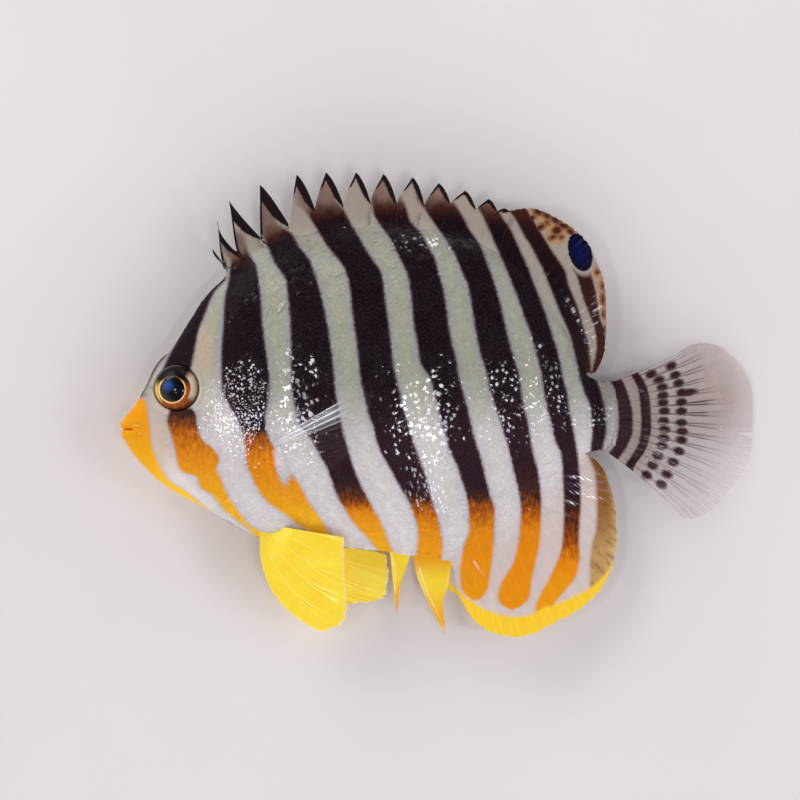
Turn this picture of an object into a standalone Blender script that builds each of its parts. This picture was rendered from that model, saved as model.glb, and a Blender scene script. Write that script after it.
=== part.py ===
"""Multibarred angelfish: a still, life-size model that lies on its right side.

The head points to -X, the back to +Y and the left flank faces up, +Z. The floor is z = 0 and the
origin is the centre of the model's box on the floor. Driving sizes are in millimetres, and MM turns
them into Blender's metres. The body is one loft, parted at the gill line and at the tail stalk.
Each fin is a sheet of rays with a web between them, trimmed to sit a hair off the body.
"""

import math

import bmesh
import bpy
import numpy as np
from mathutils import Vector

MM = 0.001
GAP = 0.3  # clearance between pieces that touch

# Outline of the body seen from its left side, without the fins: (x, y) along the back and the belly
SNOUT_X = -38.0
BODY_END_X = 21.3
BACK_LINE = [
    (-38.0, -2.3), (-37.6, -1.45), (-37.0, -0.7), (-36.4, 0.0), (-35.8, 1.0), (-35.0, 2.5),
    (-34.3, 4.1), (-33.4, 5.5), (-32.2, 6.6), (-31.3, 8.0), (-29.8, 10.4), (-28.6, 12.3),
    (-27.4, 13.8), (-26.0, 15.1), (-23.2, 17.8), (-21.2, 19.0), (-17.8, 20.3), (-13.0, 21.3),
    (-7.0, 21.8), (-1.0, 21.4), (4.4, 20.1), (8.6, 17.9), (12.2, 14.3), (14.8, 10.3),
    (16.7, 6.4), (18.2, 3.4), (19.4, 2.9), (21.3, 3.0),
]
BELLY_LINE = [
    (-38.0, -3.0), (-37.7, -4.0), (-37.4, -4.7), (-36.9, -5.5), (-35.8, -6.8), (-34.6, -8.1),
    (-33.1, -9.5), (-31.5, -10.6), (-28.6, -12.2), (-25.6, -13.9), (-23.2, -15.2), (-21.2, -16.0),
    (-16.6, -16.7), (-10.9, -17.2), (-6.1, -17.7), (-3.2, -18.2), (0.2, -18.2), (3.8, -17.2),
    (7.4, -15.2), (11.0, -12.3), (14.0, -9.4), (16.4, -6.9), (18.2, -5.7), (19.4, -5.5), (21.3, -5.9),
]
# Half thickness of the body along its length
HALF_WIDTH = [
    (-38.0, 0.8), (-37.0, 1.5), (-35.5, 2.1), (-33.5, 2.9), (-31.3, 3.6), (-28.0, 4.5), (-24.0, 5.2),
    (-19.4, 5.6), (-14.0, 6.3), (-8.0, 6.55), (-1.0, 6.2), (5.0, 5.3), (10.0, 4.2), (14.0, 3.2),
    (18.0, 2.4), (21.3, 1.8),
]
SECTION_POWER = 2.2  # how flat the flanks are
SECTION_EDGE = 0.62  # how round the back and the belly are
RING_POINTS = 32

# Height of the fish's middle plane above the floor: level along the trunk, then down to the tail tip
MID_HEIGHT = 6.2
BEND_START_X = 4.0
TAIL_TIP_X = 38.1
TAIL_TIP_HEIGHT = 0.2
BEND_POWER = 1.8

# The gill line, where the head ends, and the start of the tail stalk
GILL_LINE = [
    (-27.6, 16.5), (-26.8, 14.6), (-23.8, 10.6), (-22.0, 7.2), (-20.7, 4.0), (-20.1, 1.6),
    (-20.5, -0.8), (-21.4, -3.6), (-22.6, -6.6), (-23.6, -9.6), (-24.3, -12.4), (-24.9, -15.5),
]
STALK_X = 18.3

EYE_AT = (-31.35, 2.05)
EYE_RADIUS = 2.75
EYE_HALF_DEPTH = 1.9
EYE_OFF_MIDDLE = 2.45  # the eye's centre from the middle plane
EYE_LEAN = (-0.28, 0.06)  # how far the eyes look forwards and up
ORBIT_RIM = 0.3

MOUTH_Y = -2.9
MOUTH_CORNER_X = -36.5
MOUTH_GAPE = 0.26
LIP_RADIUS = 0.42
UPPER_LIP = {"y": -2.2, "front": -37.68, "half_width": 1.15}
LOWER_LIP = {"y": -3.65, "front": -37.35, "half_width": 1.05}
NOSTRILS = [(-34.5, 2.0), (-35.0, 1.1)]
NOSTRIL_RADIUS = 0.22
CHEEK_SPINE = {"root": (-28.2, -7.2), "tip": (-25.2, -6.8), "radius": 0.34}

# Fins: thickness of the web, of the rays that stand out of it, and of the rim, all as half heights
WEB_HALF = 0.25
RIM_HALF = 0.13
RAY_HEIGHT = 0.14
SPINE_HEIGHT = 0.22
RIM_SHARE = 0.25  # the outer share of a ray along which it thins to the rim
ROOT_DEPTH = 0.9  # how far a fin's root reaches into the body before it is trimmed
# The points inside the fish that the fins' roots reach towards
DORSAL_HEART = (-2.0, -4.0)
ANAL_HEART = (2.0, 4.0)
TAIL_HEART = (4.0, -1.4)
PECTORAL_HEART = (-30.0, -8.5)
PELVIC_HEART = (-20.4, 0.0)

SPINE_BASES = [
    (-25.1, 15.7), (-24.3, 16.7), (-22.6, 17.9), (-20.0, 19.3), (-16.6, 20.5), (-13.7, 21.2),
    (-10.9, 21.6), (-8.0, 21.8), (-5.1, 21.8), (-2.3, 21.6), (0.3, 21.2), (2.8, 20.7), (5.2, 19.8),
]
SPINE_TIPS = [
    (-27.2, 18.6), (-26.6, 22.1), (-25.1, 24.6), (-21.5, 26.5), (-17.0, 27.7), (-13.6, 28.0),
    (-9.9, 28.0), (-6.5, 27.7), (-3.2, 27.4), (-0.1, 26.6), (3.2, 25.8), (5.8, 24.7), (7.7, 23.6),
]
# The lowest point of the web's edge in front of the second and each later spine
SPINE_NOTCHES = [
    (-25.5, 16.6), (-23.6, 17.9), (-21.2, 20.0), (-17.8, 21.8), (-14.6, 23.4), (-11.5, 23.6),
    (-8.1, 24.2), (-4.9, 24.1), (-1.7, 24.1), (1.5, 24.1), (4.5, 23.4), (7.0, 23.2),
]
SOFT_DORSAL_RAYS = 18
SOFT_DORSAL_BASE = [(6.9, 18.9), (9.6, 17.1), (12.2, 14.3), (14.8, 10.3), (16.7, 6.4), (17.9, 4.0)]
SOFT_DORSAL_RIM = [
    (8.3, 23.4), (11.0, 23.8), (12.8, 23.2), (14.6, 22.3), (16.4, 21.1), (18.2, 19.2), (19.1, 17.2),
    (19.9, 15.0), (20.2, 12.6), (20.2, 9.0), (20.0, 7.0), (19.4, 5.2), (18.7, 4.0),
]
ANAL_SPINES = [  # base, tip, and the web's notch behind the tip
    ((-5.6, -17.7), (-5.0, -25.0), (-3.5, -19.6)),
    ((-2.6, -18.2), (0.8, -27.4), (1.5, -22.2)),
    ((0.6, -18.1), (4.9, -26.1), None),
]
ANAL_RAYS = 17
ANAL_BASE = [
    (1.4, -18.0), (3.8, -17.2), (7.4, -15.2), (11.0, -12.3), (14.0, -9.4), (16.4, -6.9), (17.7, -6.1),
]
ANAL_RIM = [
    (5.6, -26.6), (7.4, -27.4), (9.2, -28.0), (11.0, -27.6), (13.4, -26.5), (16.4, -25.0),
    (18.4, -23.5), (20.2, -21.2), (21.2, -18.6), (21.5, -16.2), (21.4, -13.2), (20.8, -10.2),
    (20.0, -7.9), (18.9, -6.6),
]
TAIL_RAYS = 17
TAIL_BASE = [(20.6, 2.6), (21.2, 0.0), (21.3, -1.5), (21.2, -3.0), (20.6, -5.5)]
TAIL_RIM = [
    (31.4, 7.6), (33.6, 7.4), (35.1, 6.5), (37.0, 4.5), (37.8, 2.6), (38.1, 0.1), (38.1, -2.3),
    (37.9, -4.8), (37.1, -7.7), (36.3, -8.8), (35.1, -10.2), (33.9, -11.5), (32.2, -12.8),
    (30.4, -13.7),
]
PECTORAL_RAYS = 14
PECTORAL_BASE = [(-19.8, -4.3), (-18.9, -8.3)]
LEFT_PECTORAL_RIM = [(-8.8, 2.1), (-8.0, 0.0), (-8.6, -2.5), (-10.2, -5.1), (-12.6, -7.6)]
RIGHT_PECTORAL_RIM = [(-9.2, -8.6), (-9.3, -11.0), (-10.8, -13.0), (-13.0, -13.9), (-15.2, -13.7)]
PELVIC_RAYS = 6
PELVIC_BASE = [(-21.4, -15.6), (-19.7, -15.3)]
LEFT_PELVIC_RIM = [(-14.0, -27.3), (-11.8, -26.6), (-10.9, -24.6), (-11.2, -21.0), (-11.3, -15.8)]
RIGHT_PELVIC_RIM = [(-13.4, -24.6), (-11.2, -24.2), (-6.4, -23.3), (-5.9, -20.4), (-6.2, -18.0)]


def curve_through(points):
    """A smooth function y(x) through the points, which never overshoots between them."""
    x, y = (np.array(values, float) for values in zip(*points))
    step = np.diff(x)
    slope = np.diff(y) / step
    turn = np.zeros(len(x))
    same_way = slope[:-1] * slope[1:] > 0
    before = 2 * step[1:] + step[:-1]
    after = step[1:] + 2 * step[:-1]
    blend = (before + after) / (before / np.where(same_way, slope[:-1], 1) + after / np.where(same_way, slope[1:], 1))
    turn[1:-1] = np.where(same_way, blend, 0)
    turn[0], turn[-1] = slope[0], slope[-1]

    def value(at):
        at = np.clip(at, x[0], x[-1])
        i = np.clip(np.searchsorted(x, at) - 1, 0, len(step) - 1)
        t = (at - x[i]) / step[i]
        a = (1 + 2 * t) * (1 - t) ** 2 * y[i] + t * (1 - t) ** 2 * step[i] * turn[i]
        b = t * t * (3 - 2 * t) * y[i + 1] + t * t * (t - 1) * step[i] * turn[i + 1]
        return a + b

    return value


def along(points, count, start=0.0, end=1.0):
    """Evenly spaced points along a smooth curve through the given ones, from one share of it to another."""
    knots = np.array(points, float)
    reach = np.concatenate([[0], np.cumsum(np.linalg.norm(np.diff(knots, axis=0), axis=1))])
    at = np.linspace(start, end, count) * reach[-1]
    sides = [curve_through(list(zip(reach, knots[:, side]))) for side in (0, 1)]
    return np.column_stack([side(at) for side in sides])


back_at = curve_through(BACK_LINE)
belly_at = curve_through(BELLY_LINE)
half_width_at = curve_through(HALF_WIDTH)


def middle_height(x):
    """Height of the middle plane above the floor at a place along the fish."""
    share = np.clip((x - BEND_START_X) / (TAIL_TIP_X - BEND_START_X), 0, 1)
    return MID_HEIGHT - (MID_HEIGHT - TAIL_TIP_HEIGHT) * share**BEND_POWER


def flank_half(x, y):
    """Half thickness of the body at a point of its side view."""
    top, bottom = back_at(x), belly_at(x)
    level = np.clip(np.abs(2 * y - top - bottom) / (top - bottom), 0, 1)
    return half_width_at(x) * (1 - level**SECTION_POWER) ** SECTION_EDGE


def mesh_object(name, points, faces):
    """A new object from points in millimetres."""
    mesh = bpy.data.meshes.new(name)
    mesh.from_pydata([Vector(point) * MM for point in points], [], faces)
    mesh.update()
    obj = bpy.data.objects.new(name, mesh)
    bpy.context.scene.collection.objects.link(obj)
    return obj


def material(name, colour, roughness):
    """A plain coloured finish."""
    made = bpy.data.materials.new(name)
    made.use_nodes = True
    shader = made.node_tree.nodes["Principled BSDF"]
    shader.inputs["Base Color"].default_value = (*colour, 1)
    shader.inputs["Roughness"].default_value = roughness
    shader.inputs["Metallic"].default_value = 0
    return made


def body_loft(name, grow=0.0):
    """The whole body as rings from snout to tail, lying on a small flat of its lower flank.

    grow moves the surface outwards, which makes the shape that fins are trimmed with.
    """
    front = SNOUT_X + np.array([0.02, 0.12, 0.35, 0.8, 1.4, 2.1, 3.0, 4.0, 5.1, 6.3, 7.6])
    stations = np.concatenate([front, np.linspace(front[-1] + 1.4, BODY_END_X - 0.5, 29), [BODY_END_X]])
    angles = np.linspace(0, 2 * math.pi, RING_POINTS, endpoint=False)
    points = []
    for x in stations:
        top, bottom = back_at(x), belly_at(x)
        level = np.cos(angles)
        half = half_width_at(x) * (1 - np.abs(level) ** SECTION_POWER) ** SECTION_EDGE
        y = (top + bottom) / 2 + level * (top - bottom) / 2
        z = middle_height(x) + half * np.sign(np.sin(angles).round(9))
        points += [(x, *pair) for pair in zip(y, np.maximum(z, 0) if not grow else z)]
    faces = []
    for ring in range(len(stations) - 1):
        for i in range(RING_POINTS):
            a = ring * RING_POINTS + i
            b = ring * RING_POINTS + (i + 1) % RING_POINTS
            faces.append((a, a + RING_POINTS, b + RING_POINTS, b))
    faces.append(tuple(range(RING_POINTS)))
    faces.append(tuple(range(len(points) - 1, len(points) - 1 - RING_POINTS, -1)))
    obj = mesh_object(name, points, faces)
    shape = bmesh.new()
    shape.from_mesh(obj.data)
    bmesh.ops.recalc_face_normals(shape, faces=shape.faces)
    if grow:
        shape.normal_update()
        moves = [vert.normal * grow * MM for vert in shape.verts]
        for vert, move in zip(shape.verts, moves):
            vert.co += move
    bmesh.ops.triangulate(shape, faces=shape.faces)
    shape.to_mesh(obj.data)
    shape.free()
    return obj


def converted(obj):
    """A curve object as a closed mesh object of the same name."""
    bpy.context.view_layer.update()
    graph = bpy.context.evaluated_depsgraph_get()
    mesh = bpy.data.meshes.new_from_object(obj.evaluated_get(graph))
    shape = bmesh.new()
    shape.from_mesh(mesh)
    bmesh.ops.remove_doubles(shape, verts=shape.verts, dist=0.002 * MM)
    bmesh.ops.recalc_face_normals(shape, faces=shape.faces)
    shape.to_mesh(mesh)
    shape.free()
    name, place = obj.name, obj.matrix_world.copy()
    bpy.data.objects.remove(obj)
    made = bpy.data.objects.new(name, mesh)
    made.matrix_world = place
    bpy.context.scene.collection.objects.link(made)
    return made


def prism(name, outline, low=-20.0, high=30.0):
    """A flat outline made thick from one height to another."""
    curve = bpy.data.curves.new(name, "CURVE")
    curve.dimensions = "2D"
    curve.fill_mode = "BOTH"
    curve.extrude = (high - low) / 2 * MM
    spline = curve.splines.new("POLY")
    spline.points.add(len(outline) - 1)
    for point, (x, y) in zip(spline.points, outline):
        point.co = (x * MM, y * MM, 0, 1)
    spline.use_cyclic_u = True
    obj = bpy.data.objects.new(name, curve)
    obj.location.z = (low + high) / 2 * MM
    bpy.context.scene.collection.objects.link(obj)
    return converted(obj)


def tube(name, path, radius):
    """A round bar along a path of points in millimetres."""
    curve = bpy.data.curves.new(name, "CURVE")
    curve.dimensions = "3D"
    curve.bevel_depth = radius * MM
    curve.bevel_resolution = 2
    curve.use_fill_caps = True
    spline = curve.splines.new("POLY")
    spline.points.add(len(path) - 1)
    for point, place in zip(spline.points, path):
        point.co = (*(Vector(place) * MM), 1)
    obj = bpy.data.objects.new(name, curve)
    bpy.context.scene.collection.objects.link(obj)
    return converted(obj)


def largest_only(obj):
    """Keeps the largest closed surface of an object's mesh."""
    shape = bmesh.new()
    shape.from_mesh(obj.data)
    left = set(shape.verts)
    groups = []
    while left:
        group, reached = set(), [left.pop()]
        while reached:
            vert = reached.pop()
            group.add(vert)
            for edge in vert.link_edges:
                other = edge.other_vert(vert)
                if other in left:
                    left.remove(other)
                    reached.append(other)
        groups.append(group)
    groups.sort(key=lambda group: max(vert.co.x for vert in group) - min(vert.co.x for vert in group))
    for group in groups[:-1]:
        bmesh.ops.delete(shape, geom=list(group), context="VERTS")
    shape.to_mesh(obj.data)
    shape.free()


def combine(obj, others, operation):
    """Joins, cuts or intersects an object with a collection of others, which are then removed."""
    group = bpy.data.collections.new(f"{obj.name} {operation.lower()}")
    bpy.context.scene.collection.children.link(group)
    for other in others:
        for owner in list(other.users_collection):
            owner.objects.unlink(other)
        group.objects.link(other)
    modifier = obj.modifiers.new(operation.title(), "BOOLEAN")
    modifier.operation = operation
    modifier.solver = "EXACT"
    modifier.operand_type = "COLLECTION"
    modifier.collection = group
    bpy.context.view_layer.update()
    graph = bpy.context.evaluated_depsgraph_get()
    mesh = bpy.data.meshes.new_from_object(obj.evaluated_get(graph))
    obj.modifiers.clear()
    obj.data = mesh
    for other in others:
        bpy.data.objects.remove(other)
    bpy.data.collections.remove(group)
    largest_only(obj)
    return obj


def copy_of(obj, name):
    """A second object with its own copy of the mesh."""
    made = bpy.data.objects.new(name, obj.data.copy())
    made.matrix_world = obj.matrix_world.copy()
    bpy.context.scene.collection.objects.link(made)
    return made


def eye_frame(side):
    """The middle of an eye and the way that it looks. side is 1 for the left eye and -1 for the right."""
    look = Vector((EYE_LEAN[0], EYE_LEAN[1], side)).normalized()
    middle = Vector((*EYE_AT, float(middle_height(EYE_AT[0])) + side * EYE_OFF_MIDDLE))
    return middle, look


def eyeball(name, side, grow=0.0):
    """A flattened ball that looks outwards."""
    middle, look = eye_frame(side)
    shape = bmesh.new()
    bmesh.ops.create_uvsphere(shape, u_segments=20, v_segments=10, radius=1)
    turn = look.to_track_quat("Z", "Y")
    for vert in shape.verts:
        flat = Vector((
            vert.co.x * (EYE_RADIUS + grow),
            vert.co.y * (EYE_RADIUS + grow),
            vert.co.z * (EYE_HALF_DEPTH + grow),
        ))
        vert.co = (middle + turn @ flat) * MM
    mesh = bpy.data.meshes.new(name)
    shape.to_mesh(mesh)
    shape.free()
    obj = bpy.data.objects.new(name, mesh)
    bpy.context.scene.collection.objects.link(obj)
    return obj


def orbit_rim(side):
    """The raised ring of skin round an eye."""
    middle, look = eye_frame(side)
    ring = middle + look * (float(flank_half(*EYE_AT)) - EYE_OFF_MIDDLE - 0.15)
    bpy.ops.mesh.primitive_torus_add(
        major_segments=28,
        minor_segments=8,
        major_radius=(EYE_RADIUS + 0.12) * MM,
        minor_radius=ORBIT_RIM * MM,
        location=ring * MM,
        rotation=look.to_track_quat("Z", "Y").to_euler(),
    )
    obj = bpy.context.object
    obj.name = "orbit rim"
    return obj


def lip(shape):
    """A lip: a bead from one corner of the mouth round the front to the other."""
    path = []
    for step in range(13):
        angle = math.radians(-90 + 15 * step)
        x = MOUTH_CORNER_X - (MOUTH_CORNER_X - shape["front"]) * math.cos(angle)
        path.append((x, shape["y"], MID_HEIGHT + shape["half_width"] * math.sin(angle)))
    return tube("lip", path, LIP_RADIUS)


def cheek_spine(side):
    """The backward spine at the corner of the cheek bone."""
    ends = []
    for x, y in (CHEEK_SPINE["root"], CHEEK_SPINE["tip"]):
        ends.append(Vector((x, y, float(middle_height(x)) + side * float(flank_half(x, y)))))
    axis = ends[1] - ends[0]
    shape = bmesh.new()
    bmesh.ops.create_cone(
        shape, cap_ends=True, segments=8, radius1=CHEEK_SPINE["radius"], radius2=0.1, depth=axis.length
    )
    turn = axis.to_track_quat("Z", "Y")
    for vert in shape.verts:
        vert.co = ((ends[0] + ends[1]) / 2 + turn @ vert.co) * MM
    mesh = bpy.data.meshes.new("cheek spine")
    shape.to_mesh(mesh)
    shape.free()
    obj = bpy.data.objects.new("cheek spine", mesh)
    bpy.context.scene.collection.objects.link(obj)
    return obj


def nostril(x, y, side):
    """A pit to cut into the snout."""
    place = Vector((x, y, float(middle_height(x)) + side * float(flank_half(x, y))))
    bpy.ops.mesh.primitive_cylinder_add(
        vertices=8, radius=NOSTRIL_RADIUS * MM, depth=0.9 * MM, location=place * MM
    )
    obj = bpy.context.object
    obj.name = "nostril"
    return obj


def mouth_slit():
    """The thin gap between the lips."""
    return prism(
        "mouth",
        [
            (SNOUT_X - 1, MOUTH_Y - MOUTH_GAPE / 2),
            (MOUTH_CORNER_X, MOUTH_Y - MOUTH_GAPE / 3),
            (MOUTH_CORNER_X, MOUTH_Y + MOUTH_GAPE / 3),
            (SNOUT_X - 1, MOUTH_Y + MOUTH_GAPE / 2),
        ],
    )


def make_body():
    """The head, the trunk and the tail stalk, parted with thin cuts."""
    whole = body_loft("body")
    far = 60.0
    gill = along(GILL_LINE, 16)
    front = [(-far, far), (gill[0][0], far), *gill, (gill[-1][0], -far), (-far, -far)]
    back = [(x + GAP, y) for x, y in [(gill[0][0], far), *gill, (gill[-1][0], -far)]]
    head = combine(copy_of(whole, "head"), [prism("front", front)], "INTERSECT")
    trunk_outline = [*back, (STALK_X, -far), (STALK_X, far)]
    trunk = combine(copy_of(whole, "trunk"), [prism("middle", trunk_outline)], "INTERSECT")
    rear = [(STALK_X + GAP, -far), (far, -far), (far, far), (STALK_X + GAP, far)]
    stalk = combine(whole, [prism("rear", rear)], "INTERSECT")
    stalk.name = "tail_stalk"
    extras = [lip(UPPER_LIP), lip(LOWER_LIP)]
    extras += [orbit_rim(side) for side in (1, -1)]
    extras += [cheek_spine(side) for side in (1, -1)]
    combine(head, extras, "UNION")
    cuts = [eyeball("socket", side, GAP) for side in (1, -1)]
    cuts += [nostril(x, y, side) for x, y in NOSTRILS for side in (1, -1)]
    cuts.append(mouth_slit())
    combine(head, cuts, "DIFFERENCE")
    return head, trunk, stalk


def column(base, tip, heart, ridge=0.0, bow=0.0):
    """One line of a fin from its root, sunk into the body towards the heart point, to its rim.

    ridge is how far the ray or spine along it stands out of the web, and bow how far it bends sideways.
    """
    base, tip, inward = np.array(base, float), np.array(tip, float), np.subtract(heart, base)
    root = base + inward / np.linalg.norm(inward) * ROOT_DEPTH
    return {"base": root, "tip": tip, "ridge": ridge, "bow": bow}


def ray_columns(base, rim, rays, heart, scallop=0.985, bows=(0.0, 0.0), ridge=RAY_HEIGHT):
    """Columns of a soft fin: a ray, then the web beyond it, whose rim stands a little further in.

    bows is how far the first and the last ray bend, and those between share it out.
    """
    count = 2 * rays - 1
    roots, tips = along(base, count), along(rim, count)
    made = []
    for i, (root, tip) in enumerate(zip(roots, tips)):
        is_ray = i % 2 == 0
        if not is_ray:
            tip = root + (tip - root) * scallop
        bow = bows[0] + (bows[1] - bows[0]) * i / (count - 1)
        made.append(column(root, tip, heart, ridge if is_ray else 0.0, bow))
    return made


def fin(name, columns, height_at, rows=6, root_extra=0.5, root_share=0.35):
    """A fin as a closed sheet, its two faces split into triangles alike.

    height_at(x, y, share) gives the height of the fin's own middle, and share runs from root to rim.
    root_extra is how much thicker the scaled root is, along root_share of the fin.
    """
    shares = np.linspace(0, 1, rows + 1)
    upper, lower = [], []
    for line in columns:
        across = np.array([-(line["tip"] - line["base"])[1], (line["tip"] - line["base"])[0]])
        for share in shares:
            place = line["base"] + (line["tip"] - line["base"]) * share
            place = place + across * line["bow"] * 4 * share * (1 - share)
            thin = min(1.0, (1 - share) / RIM_SHARE)
            half = RIM_HALF + (WEB_HALF - RIM_HALF + line["ridge"]) * thin
            half += root_extra * max(0.0, 1 - share / root_share) ** 2
            height = max(float(height_at(*place, share)), half)
            upper.append((*place, height + half))
            lower.append((*place, height - half))
    wide, count = rows + 1, len(upper)
    faces = []
    for i in range(len(columns) - 1):
        for j in range(rows):
            a, b = i * wide + j, (i + 1) * wide + j
            for triangle in ((a, b, b + 1), (a, b + 1, a + 1)):
                faces.append(triangle)
                faces.append(tuple(count + corner for corner in reversed(triangle)))
    rim = [j for j in range(wide)]
    rim += [i * wide + rows for i in range(1, len(columns))]
    rim += [(len(columns) - 1) * wide + j for j in range(rows - 1, -1, -1)]
    rim += [i * wide for i in range(len(columns) - 2, 0, -1)]
    for a, b in zip(rim, rim[1:] + rim[:1]):
        faces += [(a, b, count + b), (a, count + b, count + a)]
    obj = mesh_object(name, upper + lower, faces)
    shape = bmesh.new()
    shape.from_mesh(obj.data)
    bmesh.ops.recalc_face_normals(shape, faces=shape.faces)
    shape.to_mesh(obj.data)
    shape.free()
    return obj


def trimmed(obj):
    """Cuts a fin's root to the body's surface, less the gap."""
    return combine(obj, [body_loft("body grown", GAP)], "DIFFERENCE")


def spiny_dorsal():
    """The front of the dorsal fin: thirteen spines with a deeply notched web."""
    columns = []
    bases, tips, notches = (np.array(points) for points in (SPINE_BASES, SPINE_TIPS, SPINE_NOTCHES))
    for i, (base, tip) in enumerate(zip(bases, tips)):
        if i:
            columns.append(column(base * 0.8 + bases[i - 1] * 0.2, notches[i - 1], DORSAL_HEART))
        columns.append(column(base, tip, DORSAL_HEART, SPINE_HEIGHT))
        if i < len(notches):
            behind = (bases[i + 1] + base) / 2
            edge = notches[i] * 0.62 + tip * 0.38
            columns.append(column(behind, edge + (behind - edge) * 0.06, DORSAL_HEART))
    return fin("dorsal_fin_spiny", columns, lambda x, y, share: middle_height(x), rows=5)


def soft_dorsal():
    """The rear of the dorsal fin, whose rim sags a little."""
    columns = ray_columns(SOFT_DORSAL_BASE, SOFT_DORSAL_RIM, SOFT_DORSAL_RAYS, DORSAL_HEART)
    return fin("dorsal_fin_soft", columns, lambda x, y, share: middle_height(x) - 0.8 * share**2)


def anal_fin():
    """Three spines, the first two almost free, and the soft rays behind them."""
    columns = []
    for base, tip, notch in ANAL_SPINES:
        if columns:
            columns.append(column((base[0] - 0.5, base[1]), last_notch, ANAL_HEART))
        columns.append(column(base, tip, ANAL_HEART, SPINE_HEIGHT))
        if notch:
            behind = np.array((base[0] + 1.3, base[1]))
            edge = np.array(notch) * 0.6 + np.array(tip) * 0.4
            columns.append(column(behind, edge + (behind - edge) * 0.06, ANAL_HEART))
            last_notch = notch
    columns += ray_columns(ANAL_BASE, ANAL_RIM, ANAL_RAYS, ANAL_HEART)
    return fin("anal_fin", columns, lambda x, y, share: middle_height(x) - 1.4 * share**2)


def tail_fin():
    """The tail fin, a fan whose middle comes down to the floor."""
    columns = ray_columns(TAIL_BASE, TAIL_RIM, TAIL_RAYS, TAIL_HEART, bows=(-0.03, 0.03))
    return fin(
        "tail_fin", columns, lambda x, y, share: middle_height(x), rows=8, root_extra=0.9, root_share=0.3
    )


def pectoral_fin(name, side, rim, lift):
    """A clear fan that leaves the flank behind the gill line. side is 1 for the left and -1 for the right."""

    def height_at(x, y, share):
        steep = min(1.0, share / 0.18)
        clear = -0.45 + (0.45 + GAP + WEB_HALF + RAY_HEIGHT + 0.12) * steep + lift * share
        return middle_height(x) + side * (flank_half(x, y) + clear)

    columns = ray_columns(PECTORAL_BASE, rim, PECTORAL_RAYS, PECTORAL_HEART, ridge=0.08)
    return fin(name, columns, height_at, rows=6, root_extra=0.1)


def pelvic_fin(name, side, rim, level, slope):
    """A fan that hangs from the belly. level is its height at the belly's edge, and slope how it falls below."""

    def height_at(x, y, share):
        root = middle_height(x) + side * 0.75
        away = min(1.0, share / 0.3)
        ease = away * away * (3 - 2 * away)
        return root * (1 - ease) + (level + slope * (y + 15.5)) * ease

    columns = ray_columns(PELVIC_BASE, rim, PELVIC_RAYS, PELVIC_HEART, bows=(-0.18, 0.0))
    return fin(name, columns, height_at, rows=7, root_extra=0.25, root_share=0.2)


def clear_scene():
    """Removes whatever the file starts with."""
    for obj in list(bpy.data.objects):
        bpy.data.objects.remove(obj)


def finish(obj, look, group):
    """Gives a piece its material, smooth shading and its collection."""
    obj.data.materials.clear()
    obj.data.materials.append(look)
    obj.data.polygons.foreach_set("use_smooth", [True] * len(obj.data.polygons))
    obj.data.set_sharp_from_angle(angle=math.radians(50))
    for owner in list(obj.users_collection):
        owner.objects.unlink(obj)
    group.objects.link(obj)


def main():
    clear_scene()
    group = bpy.data.collections.new("Multibarred angelfish")
    bpy.context.scene.collection.children.link(group)
    skin = material("Barred skin", (0.62, 0.6, 0.56), 0.3)
    eye = material("Eye", (0.02, 0.015, 0.02), 0.1)
    barred_fin = material("Barred fin", (0.4, 0.3, 0.22), 0.35)
    clear_fin = material("Clear fin", (0.75, 0.72, 0.68), 0.25)
    yellow_fin = material("Yellow fin", (0.85, 0.62, 0.05), 0.35)
    for piece in make_body():
        finish(piece, skin, group)
    for name, side in (("eye_left", 1), ("eye_right", -1)):
        finish(eyeball(name, side), eye, group)
    for piece in (spiny_dorsal(), soft_dorsal(), anal_fin()):
        finish(trimmed(piece), barred_fin, group)
    finish(trimmed(tail_fin()), clear_fin, group)
    left = pectoral_fin("pectoral_fin_left", 1, LEFT_PECTORAL_RIM, 1.0)
    right = pectoral_fin("pectoral_fin_right", -1, RIGHT_PECTORAL_RIM, 0.0)
    for piece in (left, right):
        finish(trimmed(piece), clear_fin, group)
    left = pelvic_fin("pelvic_fin_left", 1, LEFT_PELVIC_RIM, 9.1, 0.36)
    right = pelvic_fin("pelvic_fin_right", -1, RIGHT_PELVIC_RIM, 4.6, 0.48)
    for piece in (left, right):
        finish(trimmed(piece), yellow_fin, group)


if __name__ == "__main__":
    main()
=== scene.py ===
"""Multibarred angelfish: the finished look of the still, life-size model.

The fish lies on its right side with its head at -X, its back at +Y and its left flank up. Shapes are
worked out in millimetres and become metres when a mesh is made. Markings are drawn on a side plan
whose steps are 0.12 mm, as (row, column) points.
"""

from __future__ import annotations

import logging
import math
from collections.abc import Callable, Sequence
from dataclasses import dataclass, field
from enum import Enum

import bpy
import numpy as np
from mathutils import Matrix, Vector

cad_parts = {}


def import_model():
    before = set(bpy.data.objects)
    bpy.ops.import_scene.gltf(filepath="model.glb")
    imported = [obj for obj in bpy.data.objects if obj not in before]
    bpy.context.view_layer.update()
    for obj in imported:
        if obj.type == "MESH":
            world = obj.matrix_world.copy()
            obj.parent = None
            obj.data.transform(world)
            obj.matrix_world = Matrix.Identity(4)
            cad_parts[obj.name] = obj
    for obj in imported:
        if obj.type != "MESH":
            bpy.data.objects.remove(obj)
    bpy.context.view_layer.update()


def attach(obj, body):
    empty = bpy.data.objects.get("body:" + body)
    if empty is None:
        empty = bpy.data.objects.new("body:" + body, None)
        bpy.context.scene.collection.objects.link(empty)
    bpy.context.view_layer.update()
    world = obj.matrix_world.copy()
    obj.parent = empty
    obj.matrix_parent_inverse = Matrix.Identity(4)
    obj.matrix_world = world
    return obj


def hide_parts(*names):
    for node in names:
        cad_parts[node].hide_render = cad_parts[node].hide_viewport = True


LOG = logging.getLogger("angelfish")
MM = 0.001
SEED = 20
PLAN_STEP = 0.12
PLAN_MIDDLE = (438.5, 405.0)
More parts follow.
